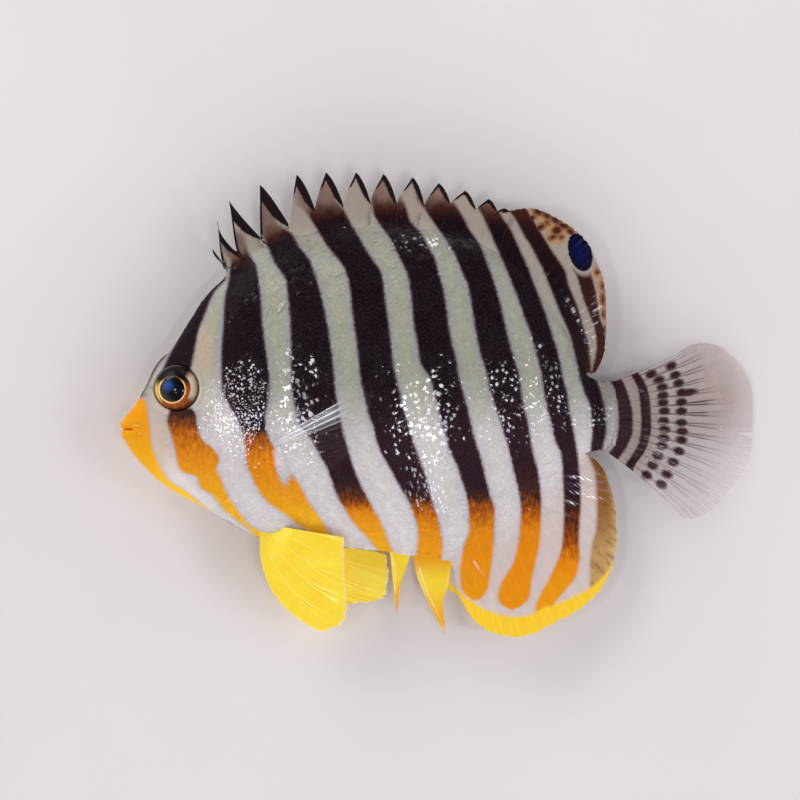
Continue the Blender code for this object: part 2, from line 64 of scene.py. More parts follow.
NO_MARK = -9.0
BODY = "root"

Pairs = Sequence[tuple[float, float]]
Colour = tuple[float, float, float]
Spot = tuple[float, float, float, float, float]
Patch = tuple[float, tuple[float, float], tuple[float, float]]
Stops = Sequence[tuple[float, Colour]]

# Colours: a bar's stages from black to yellow and the skin between bars by its distance from them, then
# the fins, the eye and the studio
RIPE_COLOURS: Stops = (
    (0.0, (0.0075, 0.0036, 0.0055)), (0.13, (0.018, 0.0065, 0.0075)), (0.33, (0.062, 0.018, 0.010)),
    (0.5, (0.44, 0.095, 0.004)), (0.66, (0.83, 0.265, 0.006)), (0.85, (0.92, 0.42, 0.012)),
    (1.0, (0.94, 0.58, 0.04)),
)
LOWER_BAR: Colour = (0.027, 0.009, 0.016)
BAR_FRINGE: Colour = (0.055, 0.016, 0.017)
UPPER_SKIN: Stops = (
    (0.0, (0.31, 0.30, 0.31)), (0.14, (0.35, 0.342, 0.32)), (0.36, (0.385, 0.37, 0.28)),
    (0.8, (0.41, 0.385, 0.295)),
)
LOWER_SKIN: Stops = ((0.0, (0.55, 0.49, 0.51)), (0.2, (0.68, 0.62, 0.61)), (0.8, (0.75, 0.68, 0.64)))
FIN_SKIN: tuple[Colour, Colour] = ((0.37, 0.31, 0.26), (0.66, 0.54, 0.49))
PEACH: Colour = (0.58, 0.41, 0.29)
# Painted sheen: added to the rims of the scales on the dark bars
SCALE_RIM_SHEEN: Colour = (0.019, 0.012, 0.016)
FIN_BROWN: tuple[Colour, Colour] = ((0.27, 0.175, 0.125), (0.20, 0.135, 0.11))
OCHRE: tuple[Colour, Colour] = ((0.26, 0.11, 0.035), (0.72, 0.47, 0.18))
OCHRE_TICK: Colour = (0.14, 0.055, 0.02)
MARGIN_GOLD: Colour = (0.99, 0.61, 0.035)
WEDGE_BLACK: Colour = (0.010, 0.007, 0.009)
EYESPOT: tuple[Colour, Colour] = ((0.003, 0.003, 0.010), (0.004, 0.005, 0.05))
YELLOW_WEB: Stops = ((0.3, (0.96, 0.66, 0.035)), (0.6, (0.98, 0.73, 0.055)), (0.8, (0.98, 0.78, 0.10)))
YELLOW_RAY: Colour = (0.95, 0.75, 0.12)
ORANGE_TIP: Colour = (0.86, 0.36, 0.012)
YELLOW_RIM: Colour = (0.80, 0.68, 0.34)
TAIL_PALE: Colour = (0.46, 0.37, 0.35)
TAIL_DARK: Colour = (0.028, 0.010, 0.012)
# Painted highlight: the pale glint streaks along the pectoral fins' top rays
PAINTED_RAY_GLINT: Colour = (0.80, 0.78, 0.82)
IRIS_STREAKS: Stops = ((0.2, (0.10, 0.018, 0.006)), (0.5, (0.33, 0.075, 0.012)), (0.8, (0.5, 0.16, 0.03)))
IRIS_FRONT: Colour = (0.62, 0.40, 0.10)
IRIS_TOP: Colour = (0.008, 0.005, 0.004)
IRIS_CRESCENT: Colour = (0.66, 0.52, 0.38)
IRIS_RING: tuple[Colour, Colour] = ((0.10, 0.05, 0.02), (0.82, 0.52, 0.17))
# The pupil's black, and the blue of a painted reflection in its upper left
PUPIL_AND_PAINTED_REFLECTION: tuple[Colour, Colour] = ((0.004, 0.004, 0.006), (0.02, 0.07, 0.26))
EYE_EDGE: Colour = (0.10, 0.085, 0.085)
FLOOR: Stops = ((0.3, (0.74, 0.70, 0.69)), (0.7, (0.79, 0.755, 0.745)))
DIM_SKY: Colour = (0.035, 0.035, 0.04)
SKY: Stops = ((0.0, (0.97, 0.98, 1.0)), (0.45, (0.96, 0.97, 0.98)), (0.72, DIM_SKY))


class Side(Enum):
    """A side of the fish: the left flank faces up."""

    LEFT = 1
    RIGHT = -1

    @property
    def title(self) -> str:
        """The side as the names of pieces and nodes give it."""
        return self.name.lower()


class Slot(Enum):
    """The record's material slots."""

    SKIN = "skin"
    EYE = "eye"
    BARRED_FIN = "barred_fin"
    CLEAR_FIN = "clear_fin"
    YELLOW_FIN = "yellow_fin"


class Smooth:
    """A smooth curve y(x) through points, which never overshoots between them."""

    def __init__(self, points: Pairs) -> None:
        """Works out the slope at each point.

        Args:
            points: (x, y) points with x rising.
        """
        self.x, self.y = (np.array(values, float) for values in zip(*points))
        self.step = np.diff(self.x)
        slope = np.diff(self.y) / self.step
        self.turn = np.zeros(len(self.x))
        same_way = slope[:-1] * slope[1:] > 0
        before = 2 * self.step[1:] + self.step[:-1]
        after = self.step[1:] + 2 * self.step[:-1]
        safe = [np.where(same_way, part, 1.0) for part in (slope[:-1], slope[1:])]
        self.turn[1:-1] = np.where(same_way, (before + after) / (before / safe[0] + after / safe[1]), 0)
        self.turn[0], self.turn[-1] = slope[0], slope[-1]

    def __call__(self, at: np.ndarray | float) -> np.ndarray:
        """The curve's height at one or many places, held level beyond its ends."""
        at = np.clip(at, self.x[0], self.x[-1])
        i = np.clip(np.searchsorted(self.x, at) - 1, 0, len(self.step) - 1)
        t = (at - self.x[i]) / self.step[i]
        near = (1 + 2 * t) * (1 - t) ** 2 * self.y[i] + t * (1 - t) ** 2 * self.step[i] * self.turn[i]
        far = t * t * (3 - 2 * t) * self.y[i + 1] + t * t * (t - 1) * self.step[i] * self.turn[i + 1]
        return near + far


def travelled(points: np.ndarray) -> np.ndarray:
    """How far along a line each of its points is."""
    return np.concatenate([[0], np.cumsum(np.linalg.norm(np.diff(points, axis=0), axis=1))])


def read_rows(at: np.ndarray | float, known: np.ndarray, rows: np.ndarray) -> np.ndarray:
    """Rows of numbers read in between the rows at known places."""
    return np.column_stack([np.interp(at, known, numbers) for numbers in rows.T])


def unit(vectors: np.ndarray) -> np.ndarray:
    """Vectors brought to a length of one."""
    return vectors / np.maximum(np.linalg.norm(vectors, axis=-1, keepdims=True), 1e-9)


def stacked(parts: Sequence[dict[str, np.ndarray]]) -> dict[str, np.ndarray]:
    """Joins the arrays that several parts have under the same names."""
    return {name: np.concatenate([part[name] for part in parts]) for name in parts[0]}


def along(points: Pairs, shares: np.ndarray) -> np.ndarray:
    """Points at the given shares of the length of a smooth curve.

    Args:
        points: The (x, y) points that the curve goes through.
        shares: Shares of its length from 0 to 1.

    Returns:
        An array of (x, y) rows.
    """
    knots = np.array(points, float)
    reach = travelled(knots)
    sides = [Smooth(list(zip(reach, knots[:, side]))) for side in (0, 1)]
    return np.column_stack([side(shares * reach[-1]) for side in sides])


def ease(value: np.ndarray, start: float, end: float) -> np.ndarray:
    """A smooth step from 0 at start to 1 at end."""
    share = np.clip((value - start) / (end - start), 0, 1)
    return share * share * (3 - 2 * share)


def bump_at(value: np.ndarray, middle: float, width: float) -> np.ndarray:
    """A rounded bump of height 1 about a middle value."""
    return np.exp(-(((value - middle) / width) ** 2))


def patch_at(x: np.ndarray, y: np.ndarray, patch: Patch) -> np.ndarray:
    """A soft oval patch, given by its strength, the two numbers of its middle and its two widths."""
    strength, (mx, my), (wide, tall) = patch
    return strength * np.exp(-(((x - mx) / wide) ** 2) - ((y - my) / tall) ** 2)


def plan(points: Pairs) -> list[tuple[float, float]]:
    """Turns (row, column) points of the plan into (x, y) millimetres."""
    return [((c - PLAN_MIDDLE[0]) * PLAN_STEP, (PLAN_MIDDLE[1] - r) * PLAN_STEP) for r, c in points]


def to_plan(x: np.ndarray, y: np.ndarray) -> tuple[np.ndarray, np.ndarray]:
    """Turns millimetres into rows and columns of the plan."""
    return PLAN_MIDDLE[1] - y / PLAN_STEP, PLAN_MIDDLE[0] + x / PLAN_STEP


def nearest_on(path: Pairs, x: np.ndarray, y: np.ndarray) -> tuple[np.ndarray, np.ndarray]:
    """How far each point is from a path, with a sign for the side it is on, and how far along that is.

    Args:
        path: The (x, y) points of the path.
        x: The points' x values.
        y: The points' y values.

    Returns:
        The signed distances, positive to the left of the path's way, and the shares along the path.
    """
    knots = np.array(path, float)
    best = np.full(x.shape, 1e9)
    sign = np.ones(x.shape)
    share = np.zeros(x.shape)
    lengths = np.linalg.norm(np.diff(knots, axis=0), axis=1)
    done = 0.0
    for (ax, ay), (bx, by), length in zip(knots[:-1], knots[1:], lengths):
        dx, dy = bx - ax, by - ay
        t = np.clip(((x - ax) * dx + (y - ay) * dy) / length**2, 0, 1)
        gap = np.hypot(x - ax - t * dx, y - ay - t * dy)
        closer = gap < best
        best = np.where(closer, gap, best)
        sign = np.where(closer, np.sign(dx * (y - ay) - dy * (x - ax)), sign)
        share = np.where(closer, (done + t * length) / lengths.sum(), share)
        done += length
    return best * np.where(sign == 0, 1, sign), share


@dataclass(frozen=True)
class FishShape:
    """The body's form without its fins: outlines, thickness and the sag of the tail, as in the solids."""

    back: Smooth = Smooth([
        (-38.0, -2.3), (-37.6, -1.45), (-37.0, -0.7), (-36.4, 0.0), (-35.8, 1.0), (-35.0, 2.5),
        (-34.3, 4.1), (-33.4, 5.5), (-32.2, 6.6), (-31.3, 8.0), (-29.8, 10.4), (-28.6, 12.3),
        (-27.4, 13.8), (-26.0, 15.1), (-23.2, 17.8), (-21.2, 19.0), (-17.8, 20.3), (-13.0, 21.3),
        (-7.0, 21.8), (-1.0, 21.4), (4.4, 20.1), (8.6, 17.9), (12.2, 14.3), (14.8, 10.3),
        (16.7, 6.4), (18.2, 3.4), (19.4, 2.9), (21.3, 3.0),
    ])
    belly: Smooth = Smooth([
        (-38.0, -3.0), (-37.7, -4.0), (-37.4, -4.7), (-36.9, -5.5), (-35.8, -6.8), (-34.6, -8.1),
        (-33.1, -9.5), (-31.5, -10.6), (-28.6, -12.2), (-25.6, -13.9), (-23.2, -15.2),
        (-21.2, -16.0), (-16.6, -16.7), (-10.9, -17.2), (-6.1, -17.7), (-3.2, -18.2), (0.2, -18.2),
        (3.8, -17.2), (7.4, -15.2), (11.0, -12.3), (14.0, -9.4), (16.4, -6.9), (18.2, -5.7),
        (19.4, -5.5), (21.3, -5.9),
    ])
    half_width: Smooth = Smooth([
        (-38.0, 0.8), (-37.0, 1.5), (-35.5, 2.1), (-33.5, 2.9), (-31.3, 3.6), (-28.0, 4.5),
        (-24.0, 5.2), (-19.4, 5.6), (-14.0, 6.3), (-8.0, 6.55), (-1.0, 6.2), (5.0, 5.3),
        (10.0, 4.2), (14.0, 3.2), (18.0, 2.4), (21.3, 1.8),
    ])
    flat: float = 2.2
    edge: float = 0.62
    snout: float = -38.0
    end: float = 21.3
    level: float = 6.2
    bend_start: float = 4.0
    tail_tip: float = 38.1
    tip_level: float = 0.2
    bend: float = 1.8

    def middle(self, x: np.ndarray | float) -> np.ndarray:
        """Height of the fish's middle plane above the floor."""
        share = np.clip((x - self.bend_start) / (self.tail_tip - self.bend_start), 0, 1)
        return self.level - (self.level - self.tip_level) * share**self.bend

    def flank(self, x: np.ndarray, y: np.ndarray) -> np.ndarray:
        """Half thickness of the body at points of its side view."""
        top, bottom = self.back(x), self.belly(x)
        level = np.clip(np.abs(2 * y - top - bottom) / (top - bottom), 0, 1)
        return self.half_width(x) * (1 - level**self.flat) ** self.edge

    def rings(self, stations: np.ndarray, count: int) -> np.ndarray:
        """Rings of points round the body.

        Args:
            stations: Where along the fish the rings are.
            count: Points in each ring, from the back down the left side and up the right one.

        Returns:
            An array of stations by count by (x, y, z).
        """
        angle = np.linspace(0, 2 * math.pi, count, endpoint=False)[None, :]
        x = stations[:, None] + 0 * angle
        top, bottom = self.back(x), self.belly(x)
        level = np.cos(angle)
        half = self.half_width(x) * (1 - np.abs(level) ** self.flat) ** self.edge
        y = (top + bottom) / 2 + level * (top - bottom) / 2
        z = self.middle(x) + half * np.sign(np.sin(angle).round(9))
        return np.stack([x, y, z], axis=2)


FISH = FishShape()


@dataclass(frozen=True)
class Bar:
    """A dark or orange band of the pattern, drawn on the plan.

    front and rear are its edges as (row, column) points, ripe gives its colour stage down its length
    (0 black, 1 red-brown, 2 orange, 3 yellow), and rows is where it starts and ends.
    """

    front: Pairs
    rear: Pairs
    ripe: Pairs
    rows: tuple[float, float]

    def reach(self, row: np.ndarray, column: np.ndarray) -> np.ndarray:
        """How far inside the band each point is, in millimetres, and negative outside."""
        front, rear = Smooth(self.front), Smooth(self.rear)
        lean = (front(row + 4) + rear(row + 4) - front(row - 4) - rear(row - 4)) / 16
        sides = np.minimum(column - front(row), rear(row) - column) / np.hypot(1, lean)
        ends = np.minimum(row - self.rows[0], self.rows[1] - row)
        outside = np.hypot(np.minimum(sides, 0), np.minimum(ends, 0))
        return np.where((sides > 0) & (ends > 0), np.minimum(sides, ends), -outside) * PLAN_STEP


BODY_BARS = (
    Bar(  # through the eye
        front=((275, 196), (330, 172), (340, 176), (350, 172), (358, 168), (372, 162)),
        rear=((280, 226), (292, 215), (300, 211), (316, 205), (332, 199), (348, 196), (372, 191)),
        ripe=((280, 0), (372, 0)),
        rows=(262, 376),
    ),
    Bar(  # thin line down the forehead
        front=((348, 166), (365, 150), (397, 136)),
        rear=((348, 173), (355, 167), (365, 158.5), (380, 150.3), (397, 142)),
        ripe=((348, 0.4), (397, 1.0)),
        rows=(346, 397),
    ),
    Bar(  # below the eye
        front=((408, 172), (420, 168), (435, 172), (450, 176), (465, 179), (472, 184), (476, 197),
               (487, 201), (495, 213), (510, 225), (522, 240), (535, 255)),
        rear=((408, 192), (413, 196), (425, 198), (440, 203), (445, 209), (450, 215), (460, 220),
              (468, 217), (480, 222), (495, 228), (510, 238), (525, 250), (532, 262)),
        ripe=((410, 0.7), (418, 1.05), (430, 1.5), (445, 1.8), (460, 2.0), (480, 2.35), (510, 2.65),
              (535, 2.8)),
        rows=(408, 545),
    ),
    Bar(  # snout and chin
        front=((395, 60), (540, 60)),
        rear=((398, 143), (405, 147), (412, 148), (425, 150), (445, 152), (455, 155), (470, 162),
              (480, 169), (490, 184), (505, 203), (520, 222)),
        ripe=((400, 2.2), (425, 2.3), (445, 2.5), (470, 2.7), (500, 2.9)),
        rows=(398, 522),
    ),
    Bar(
        front=((230, 236), (248, 226), (260, 231), (280, 229), (300, 225), (320, 224), (360, 222),
               (390, 223), (405, 230), (415, 236), (425, 241), (445, 246), (460, 247), (480, 254),
               (492, 260), (503, 270), (512, 283), (525, 300), (535, 320)),
        rear=((230, 238), (248, 246), (258, 251), (265, 256), (280, 259), (305, 262), (325, 263),
              (345, 266), (380, 270), (400, 269), (418, 266), (430, 267), (440, 271),
              (458, 281), (475, 293), (485, 300), (495, 305), (508, 313), (525, 325), (540, 332)),
        ripe=((245, 1.0), (262, 0.5), (275, 0), (424, 0), (432, 1.15), (444, 1.5), (454, 1.85),
              (480, 2.05), (500, 2.3), (520, 2.65)),
        rows=(236, 548),
    ),
    Bar(
        front=((222, 260), (235, 263), (248, 268), (260, 273), (270, 279), (280, 286), (295, 288),
               (330, 291), (385, 292), (400, 294), (418, 298), (430, 303), (438, 311), (455, 320),
               (465, 326), (478, 331), (497, 338), (505, 343), (520, 352), (538, 368), (550, 378)),
        rear=((222, 274), (236, 293), (248, 300), (256, 307), (268, 313), (290, 320), (315, 326),
              (345, 331), (360, 333), (400, 337), (415, 340), (430, 343), (445, 347), (468, 354),
              (478, 358), (497, 367), (517, 378), (537, 387), (555, 394)),
        ripe=((218, 1.1), (234, 0.6), (244, 0), (468, 0), (485, 0.8), (500, 1.2), (512, 1.95),
              (545, 2.5)),
        rows=(170, 570),
    ),
    Bar(
        front=((200, 300), (228, 316), (240, 323), (253, 332), (263, 340), (273, 346), (285, 349),
               (310, 352), (355, 358), (375, 360), (400, 365), (415, 369), (430, 374), (445, 378),
               (458, 384), (468, 390), (480, 396), (500, 408), (510, 412), (532, 418), (560, 416)),
        rear=((200, 334), (212, 345), (222, 350), (232, 356), (245, 363), (265, 376), (275, 382),
              (290, 384), (335, 390), (370, 394), (385, 398), (412, 404), (425, 408), (450, 416),
              (475, 425), (498, 431), (520, 438), (545, 442), (560, 441)),
        ripe=((200, 1.1), (214, 0.9), (228, 0.3), (236, 0), (482, 0), (496, 0.9), (510, 1.6),
              (530, 2.0), (560, 2.3), (585, 2.9)),
        rows=(160, 660),
    ),
    Bar(
        front=((195, 370), (215, 374), (228, 382), (240, 390), (252, 396), (262, 401), (275, 407),
               (290, 410), (320, 413), (345, 417), (360, 419), (380, 430), (395, 434), (410, 438),
               (425, 441), (437, 446), (450, 449), (462, 455), (482, 462), (492, 465), (505, 468),
               (530, 469), (545, 464), (575, 460), (586, 461), (594, 465), (599, 471)),
        rear=((195, 398), (205, 405), (222, 411), (232, 420), (245, 427), (258, 434), (272, 438),
              (285, 442), (300, 445), (330, 449), (345, 452), (360, 456), (375, 458), (397, 464),
              (412, 468), (425, 471), (448, 477), (460, 481), (472, 484), (497, 490), (510, 494),
              (530, 494), (560, 492), (575, 490), (586, 488.5), (594, 485), (599, 480)),
        ripe=((195, 1.0), (214, 0.8), (228, 0.2), (236, 0), (480, 0), (490, 0.75), (502, 1.2), (515, 1.6),
              (530, 1.95), (590, 2.2)),
        rows=(160, 600),
    ),
    Bar(
        front=((200, 418), (210, 425), (222, 433), (235, 442), (248, 450), (258, 456), (272, 461),
               (285, 467), (300, 470), (325, 474), (355, 480), (370, 485), (392, 490), (405, 494),
               (420, 499), (432, 503), (445, 507), (470, 513), (495, 519), (510, 521), (538, 519),
               (565, 512.5), (575, 506), (582, 502), (590, 499), (598, 498), (603, 500), (607, 505),
               (610, 512)),
        rear=((200, 452), (215, 462), (230, 470), (242, 478), (255, 484), (272, 490), (290, 496),
              (305, 500), (335, 507), (350, 511), (378, 519), (400, 522), (412, 525), (450, 532),
              (475, 538), (505, 541), (538, 540), (565, 535), (582, 531.5), (598, 529), (604, 524),
              (608, 518), (610, 513)),
        ripe=((200, 1.0), (216, 0.4), (228, 0), (448, 0), (468, 0.65), (492, 0.95), (504, 1.2), (516, 1.65),
              (532, 1.95), (606, 2.1)),
        rows=(160, 611),
    ),
    Bar(
        front=((200, 474), (215, 482), (228, 488), (242, 494), (256, 500), (270, 506), (285, 512),
               (315, 523), (340, 532), (355, 536), (375, 541), (392, 543), (417, 549), (430, 552),
               (442, 555), (452, 560), (480, 563), (510, 564), (540, 563), (555, 560), (567, 555),
               (580, 549), (592, 542), (605, 536)),
        rear=((200, 493), (215, 501), (225, 508), (238, 515), (252, 521), (265, 527), (278, 532),
              (305, 542), (318, 547), (335, 552), (350, 557), (375, 562), (390, 566), (415, 570),
              (440, 575), (465, 579), (500, 581), (540, 579), (555, 580), (565, 579), (579, 575),
              (590, 566), (603, 555)),
        ripe=((200, 0.9), (216, 0), (488, 0), (500, 0.75), (518, 1.1), (538, 1.25), (548, 1.6),
              (562, 1.95), (585, 2.2)),
        rows=(170, 620),
    ),
    Bar(
        front=((204, 504), (220, 516), (232, 522), (245, 530), (258, 537), (270, 543), (285, 549),
               (300, 555), (315, 561), (328, 567), (340, 571), (365, 577), (380, 580), (390, 583),
               (402, 588), (415, 591), (430, 592), (445, 591)),
        rear=((204, 524), (222, 535), (250, 552), (262, 560), (272, 566), (285, 569), (297, 574),
              (310, 579), (325, 583), (337, 587), (350, 590), (372, 592), (382, 598), (392, 601),
              (405, 604), (418, 606), (432, 606), (450, 602)),
        ripe=((204, 1.0), (216, 0.3), (226, 0), (440, 0), (452, 0.5)),
        rows=(190, 455),
    ),
)
ANAL_BAND = Bar(
    front=((455, 590), (475, 597), (510, 599), (530, 598), (545, 594), (560, 592)),
    rear=((455, 602), (475, 611), (510, 622), (545, 626), (560, 622)),
    ripe=((455, 1.35), (560, 1.6)),
    rows=(455, 640),
)
DORSAL_BAND = Bar(
    front=((262, 570), (276, 577), (300, 584), (315, 590), (330, 595), (345, 597), (372, 592)),
    rear=((262, 584), (276, 592), (300, 598), (315, 600), (330, 605), (345, 607), (372, 604)),
    ripe=((262, 0.55), (330, 0.7), (372, 0.95)),
    rows=(268, 380),
)
TAIL_BARS = (
    Bar(
        front=((370, 605), (382, 611), (392, 616), (405, 619), (420, 620), (435, 619), (445, 616),
               (457, 608), (468, 600)),
        rear=((370, 614), (378, 620), (388, 625), (400, 629), (415, 632), (430, 632), (443, 628),
              (453, 622), (463, 614), (470, 608)),
        ripe=((370, 0.3), (470, 0.3)),
        rows=(360, 480),
    ),
    Bar(
        front=((364, 623), (371, 629), (380, 636), (390, 640), (405, 642), (425, 643), (440, 641),
               (450, 637), (462, 629), (470, 623), (480, 614)),
        rear=((364, 630), (371, 636), (380, 643), (392, 648), (405, 650), (425, 651), (440, 649),
              (452, 644), (463, 636), (474, 630), (484, 622)),
        ripe=((364, 0.45), (484, 0.45)),
        rows=(350, 495),
    ),
)
TAIL_DOTS = (
    ((374, 652), (380, 659.6), (387, 663), (395.5, 663.8), (402.5, 663.8), (411, 665.2), (421, 664.5),
     (429.5, 665.4), (438, 664.7), (446, 662.8), (456, 658.5), (465.6, 653.3), (475, 647.5), (482, 640.8)),
    ((366, 672), (375, 676.3), (383, 679.8), (392.5, 683), (402, 682.6), (411.2, 682.6), (422.7, 682.6),
     (431.4, 683.3), (440, 682.6), (451.3, 680), (462.4, 674.2), (474.3, 667.9), (484.7, 662.4)),
)


@dataclass(frozen=True)
class Markings:
    """The pattern as values on a mesh: how far inside a band, its colour stage, and how pale below.

    The skin turns paler over pale_rows, on the pale_cheek and, by pale_stalk, over stalk_ends. It is
    warmer in the warm patches, and no bar shows in the bare lobe at the pectoral fin's base, which leans
    back by lobe_lean for each row.
    """

    bars: tuple[Bar, ...] = BODY_BARS
    pale_rows: tuple[float, float] = (372.0, 455.0)
    pale_cheek: Patch = (1.0, (428, 224), (48, 22))
    pale_stalk: float = 0.2
    stalk_ends: tuple[float, float] = (18.3, 20.0)
    warm: tuple[Patch, ...] = ((0.75, (352, 203), (26, 9)), (0.7, (440, 162), (42, 13)))
    lobe: tuple[float, float] = (460, 283)
    lobe_size: tuple[float, float] = (24, 8)
    lobe_lean: float = 0.1

    def measure(self, x: np.ndarray, y: np.ndarray) -> dict[str, np.ndarray]:
        """Reads the pattern at points of the side view.

        Args:
            x: The points' x values.
            y: The points' y values.

        Returns:
            The values by attribute name: bar, in millimetres, ripe, from 0 to 3, and pale and warm, from
            0 to 1.
        """
        row, column = to_plan(x, y)
        bar = np.full(x.shape, NO_MARK)
        ripe = np.zeros(x.shape)
        for band in self.bars:
            reach = band.reach(row, column)
            inside = reach > bar
            bar = np.where(inside, reach, bar)
            ripe = np.where(inside, np.interp(row, *zip(*band.ripe)), ripe)
        down = row - self.lobe[0]
        back = column - self.lobe[1] - down * self.lobe_lean
        lobe = np.hypot(down / self.lobe_size[0], back / self.lobe_size[1])
        stalk = self.pale_stalk * ease(x, *self.stalk_ends)
        pale = np.maximum(patch_at(row, column, self.pale_cheek), stalk)
        return {
            "bar": np.minimum(bar, (lobe - 1) * 0.9), "ripe": ripe,
            "pale": np.maximum(ease(row, *self.pale_rows), pale),
            "warm": sum(patch_at(row, column, patch) for patch in self.warm),
        }


def read_patterns(patterns: Sequence[Markings], x: np.ndarray, y: np.ndarray) -> dict[str, np.ndarray]:
    """Reads several patterns at once. Where two meet, the one whose band reaches further shows."""
    values = patterns[0].measure(x, y)
    for other in patterns[1:]:
        found = other.measure(x, y)
        closer = found["bar"] > values["bar"]
        values = {name: np.where(closer, found[name], values[name]) for name in values}
    return values


def mesh_piece(
    name: str, points: np.ndarray, faces: Sequence[np.ndarray], smooth: Sequence[bool] = ()
) -> bpy.types.Object:
    """A new object from points in millimetres.

    Args:
        name: The piece's name.
        points: An array of (x, y, z) rows.
        faces: Arrays of point numbers, one row a face, each array with its own corner count.
        smooth: Whether each of those arrays is shaded smooth. All are where it is empty.

    Returns:
        The object, linked to the scene.
    """
    flags = smooth or [True] * len(faces)
    rounded = np.concatenate([np.full(len(part), flag) for part, flag in zip(faces, flags)])
    mesh = bpy.data.meshes.new(name)
    mesh.vertices.add(len(points))
    mesh.vertices.foreach_set("co", (np.asarray(points) * MM).ravel())
    corners = np.concatenate([part.ravel() for part in faces])
    sizes = np.concatenate([np.full(len(part), part.shape[1]) for part in faces])
    mesh.loops.add(len(corners))
    mesh.loops.foreach_set("vertex_index", corners.astype(np.int32))
    mesh.polygons.add(len(sizes))
    mesh.polygons.foreach_set("loop_start", (np.cumsum(sizes) - sizes).astype(np.int32))
    mesh.polygons.foreach_set("use_smooth", rounded)
    mesh.update(calc_edges=True)
    mesh.validate()
    piece = bpy.data.objects.new(name, mesh)
    bpy.context.scene.collection.objects.link(piece)
    return piece


def set_values(piece: bpy.types.Object, values: dict[str, np.ndarray]) -> None:
    """Stores one number for each point of a piece under each name."""
    for name, numbers in values.items():
        layer = piece.data.attributes.new(name, "FLOAT", "POINT")
        layer.data.foreach_set("value", np.asarray(numbers, np.float32).ravel())


def set_uv(piece: bpy.types.Object, name: str, places: np.ndarray) -> None:
    """Adds a UV map from one (u, v) pair for each point."""
    corners = np.zeros(len(piece.data.loops), np.int32)
    piece.data.loops.foreach_get("vertex_index", corners)
    layer = piece.data.uv_layers.new(name=name)
    layer.data.foreach_set("uv", np.asarray(places, np.float32)[corners].ravel())


def report(piece: bpy.types.Object, replaced: Sequence[str] = ()) -> None:
    """Hands a finished piece to the frame and logs it.

    Args:
        piece: The finished object.
        replaced: The nodes that it stands for.
    """
    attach(piece, BODY)
    if replaced:
        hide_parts(*replaced)
    LOG.info("%s: %d faces", piece.name, len(piece.data.polygons))


FLOAT = "NodeSocketFloat"


class Value:
    """An output of a node tree, for sums and products that are written out."""

    def __init__(self, shader: Shader, socket: bpy.types.NodeSocket) -> None:
        """Takes the tree's writer and the output."""
        self.shader, self.socket = shader, socket

    def __add__(self, other: object) -> Value:
        """The sum."""
        return self.shader.math("ADD", self, other)

    def __sub__(self, other: object) -> Value:
        """The difference."""
        return self.shader.math("SUBTRACT", self, other)

    def __mul__(self, other: object) -> Value:
        """The product."""
        return self.shader.math("MULTIPLY", self, other)

    def __truediv__(self, other: object) -> Value:
        """The quotient."""
        return self.shader.math("DIVIDE", self, other)

    def __abs__(self) -> Value:
        """The number without its sign."""
        return self.shader.math("ABSOLUTE", self)


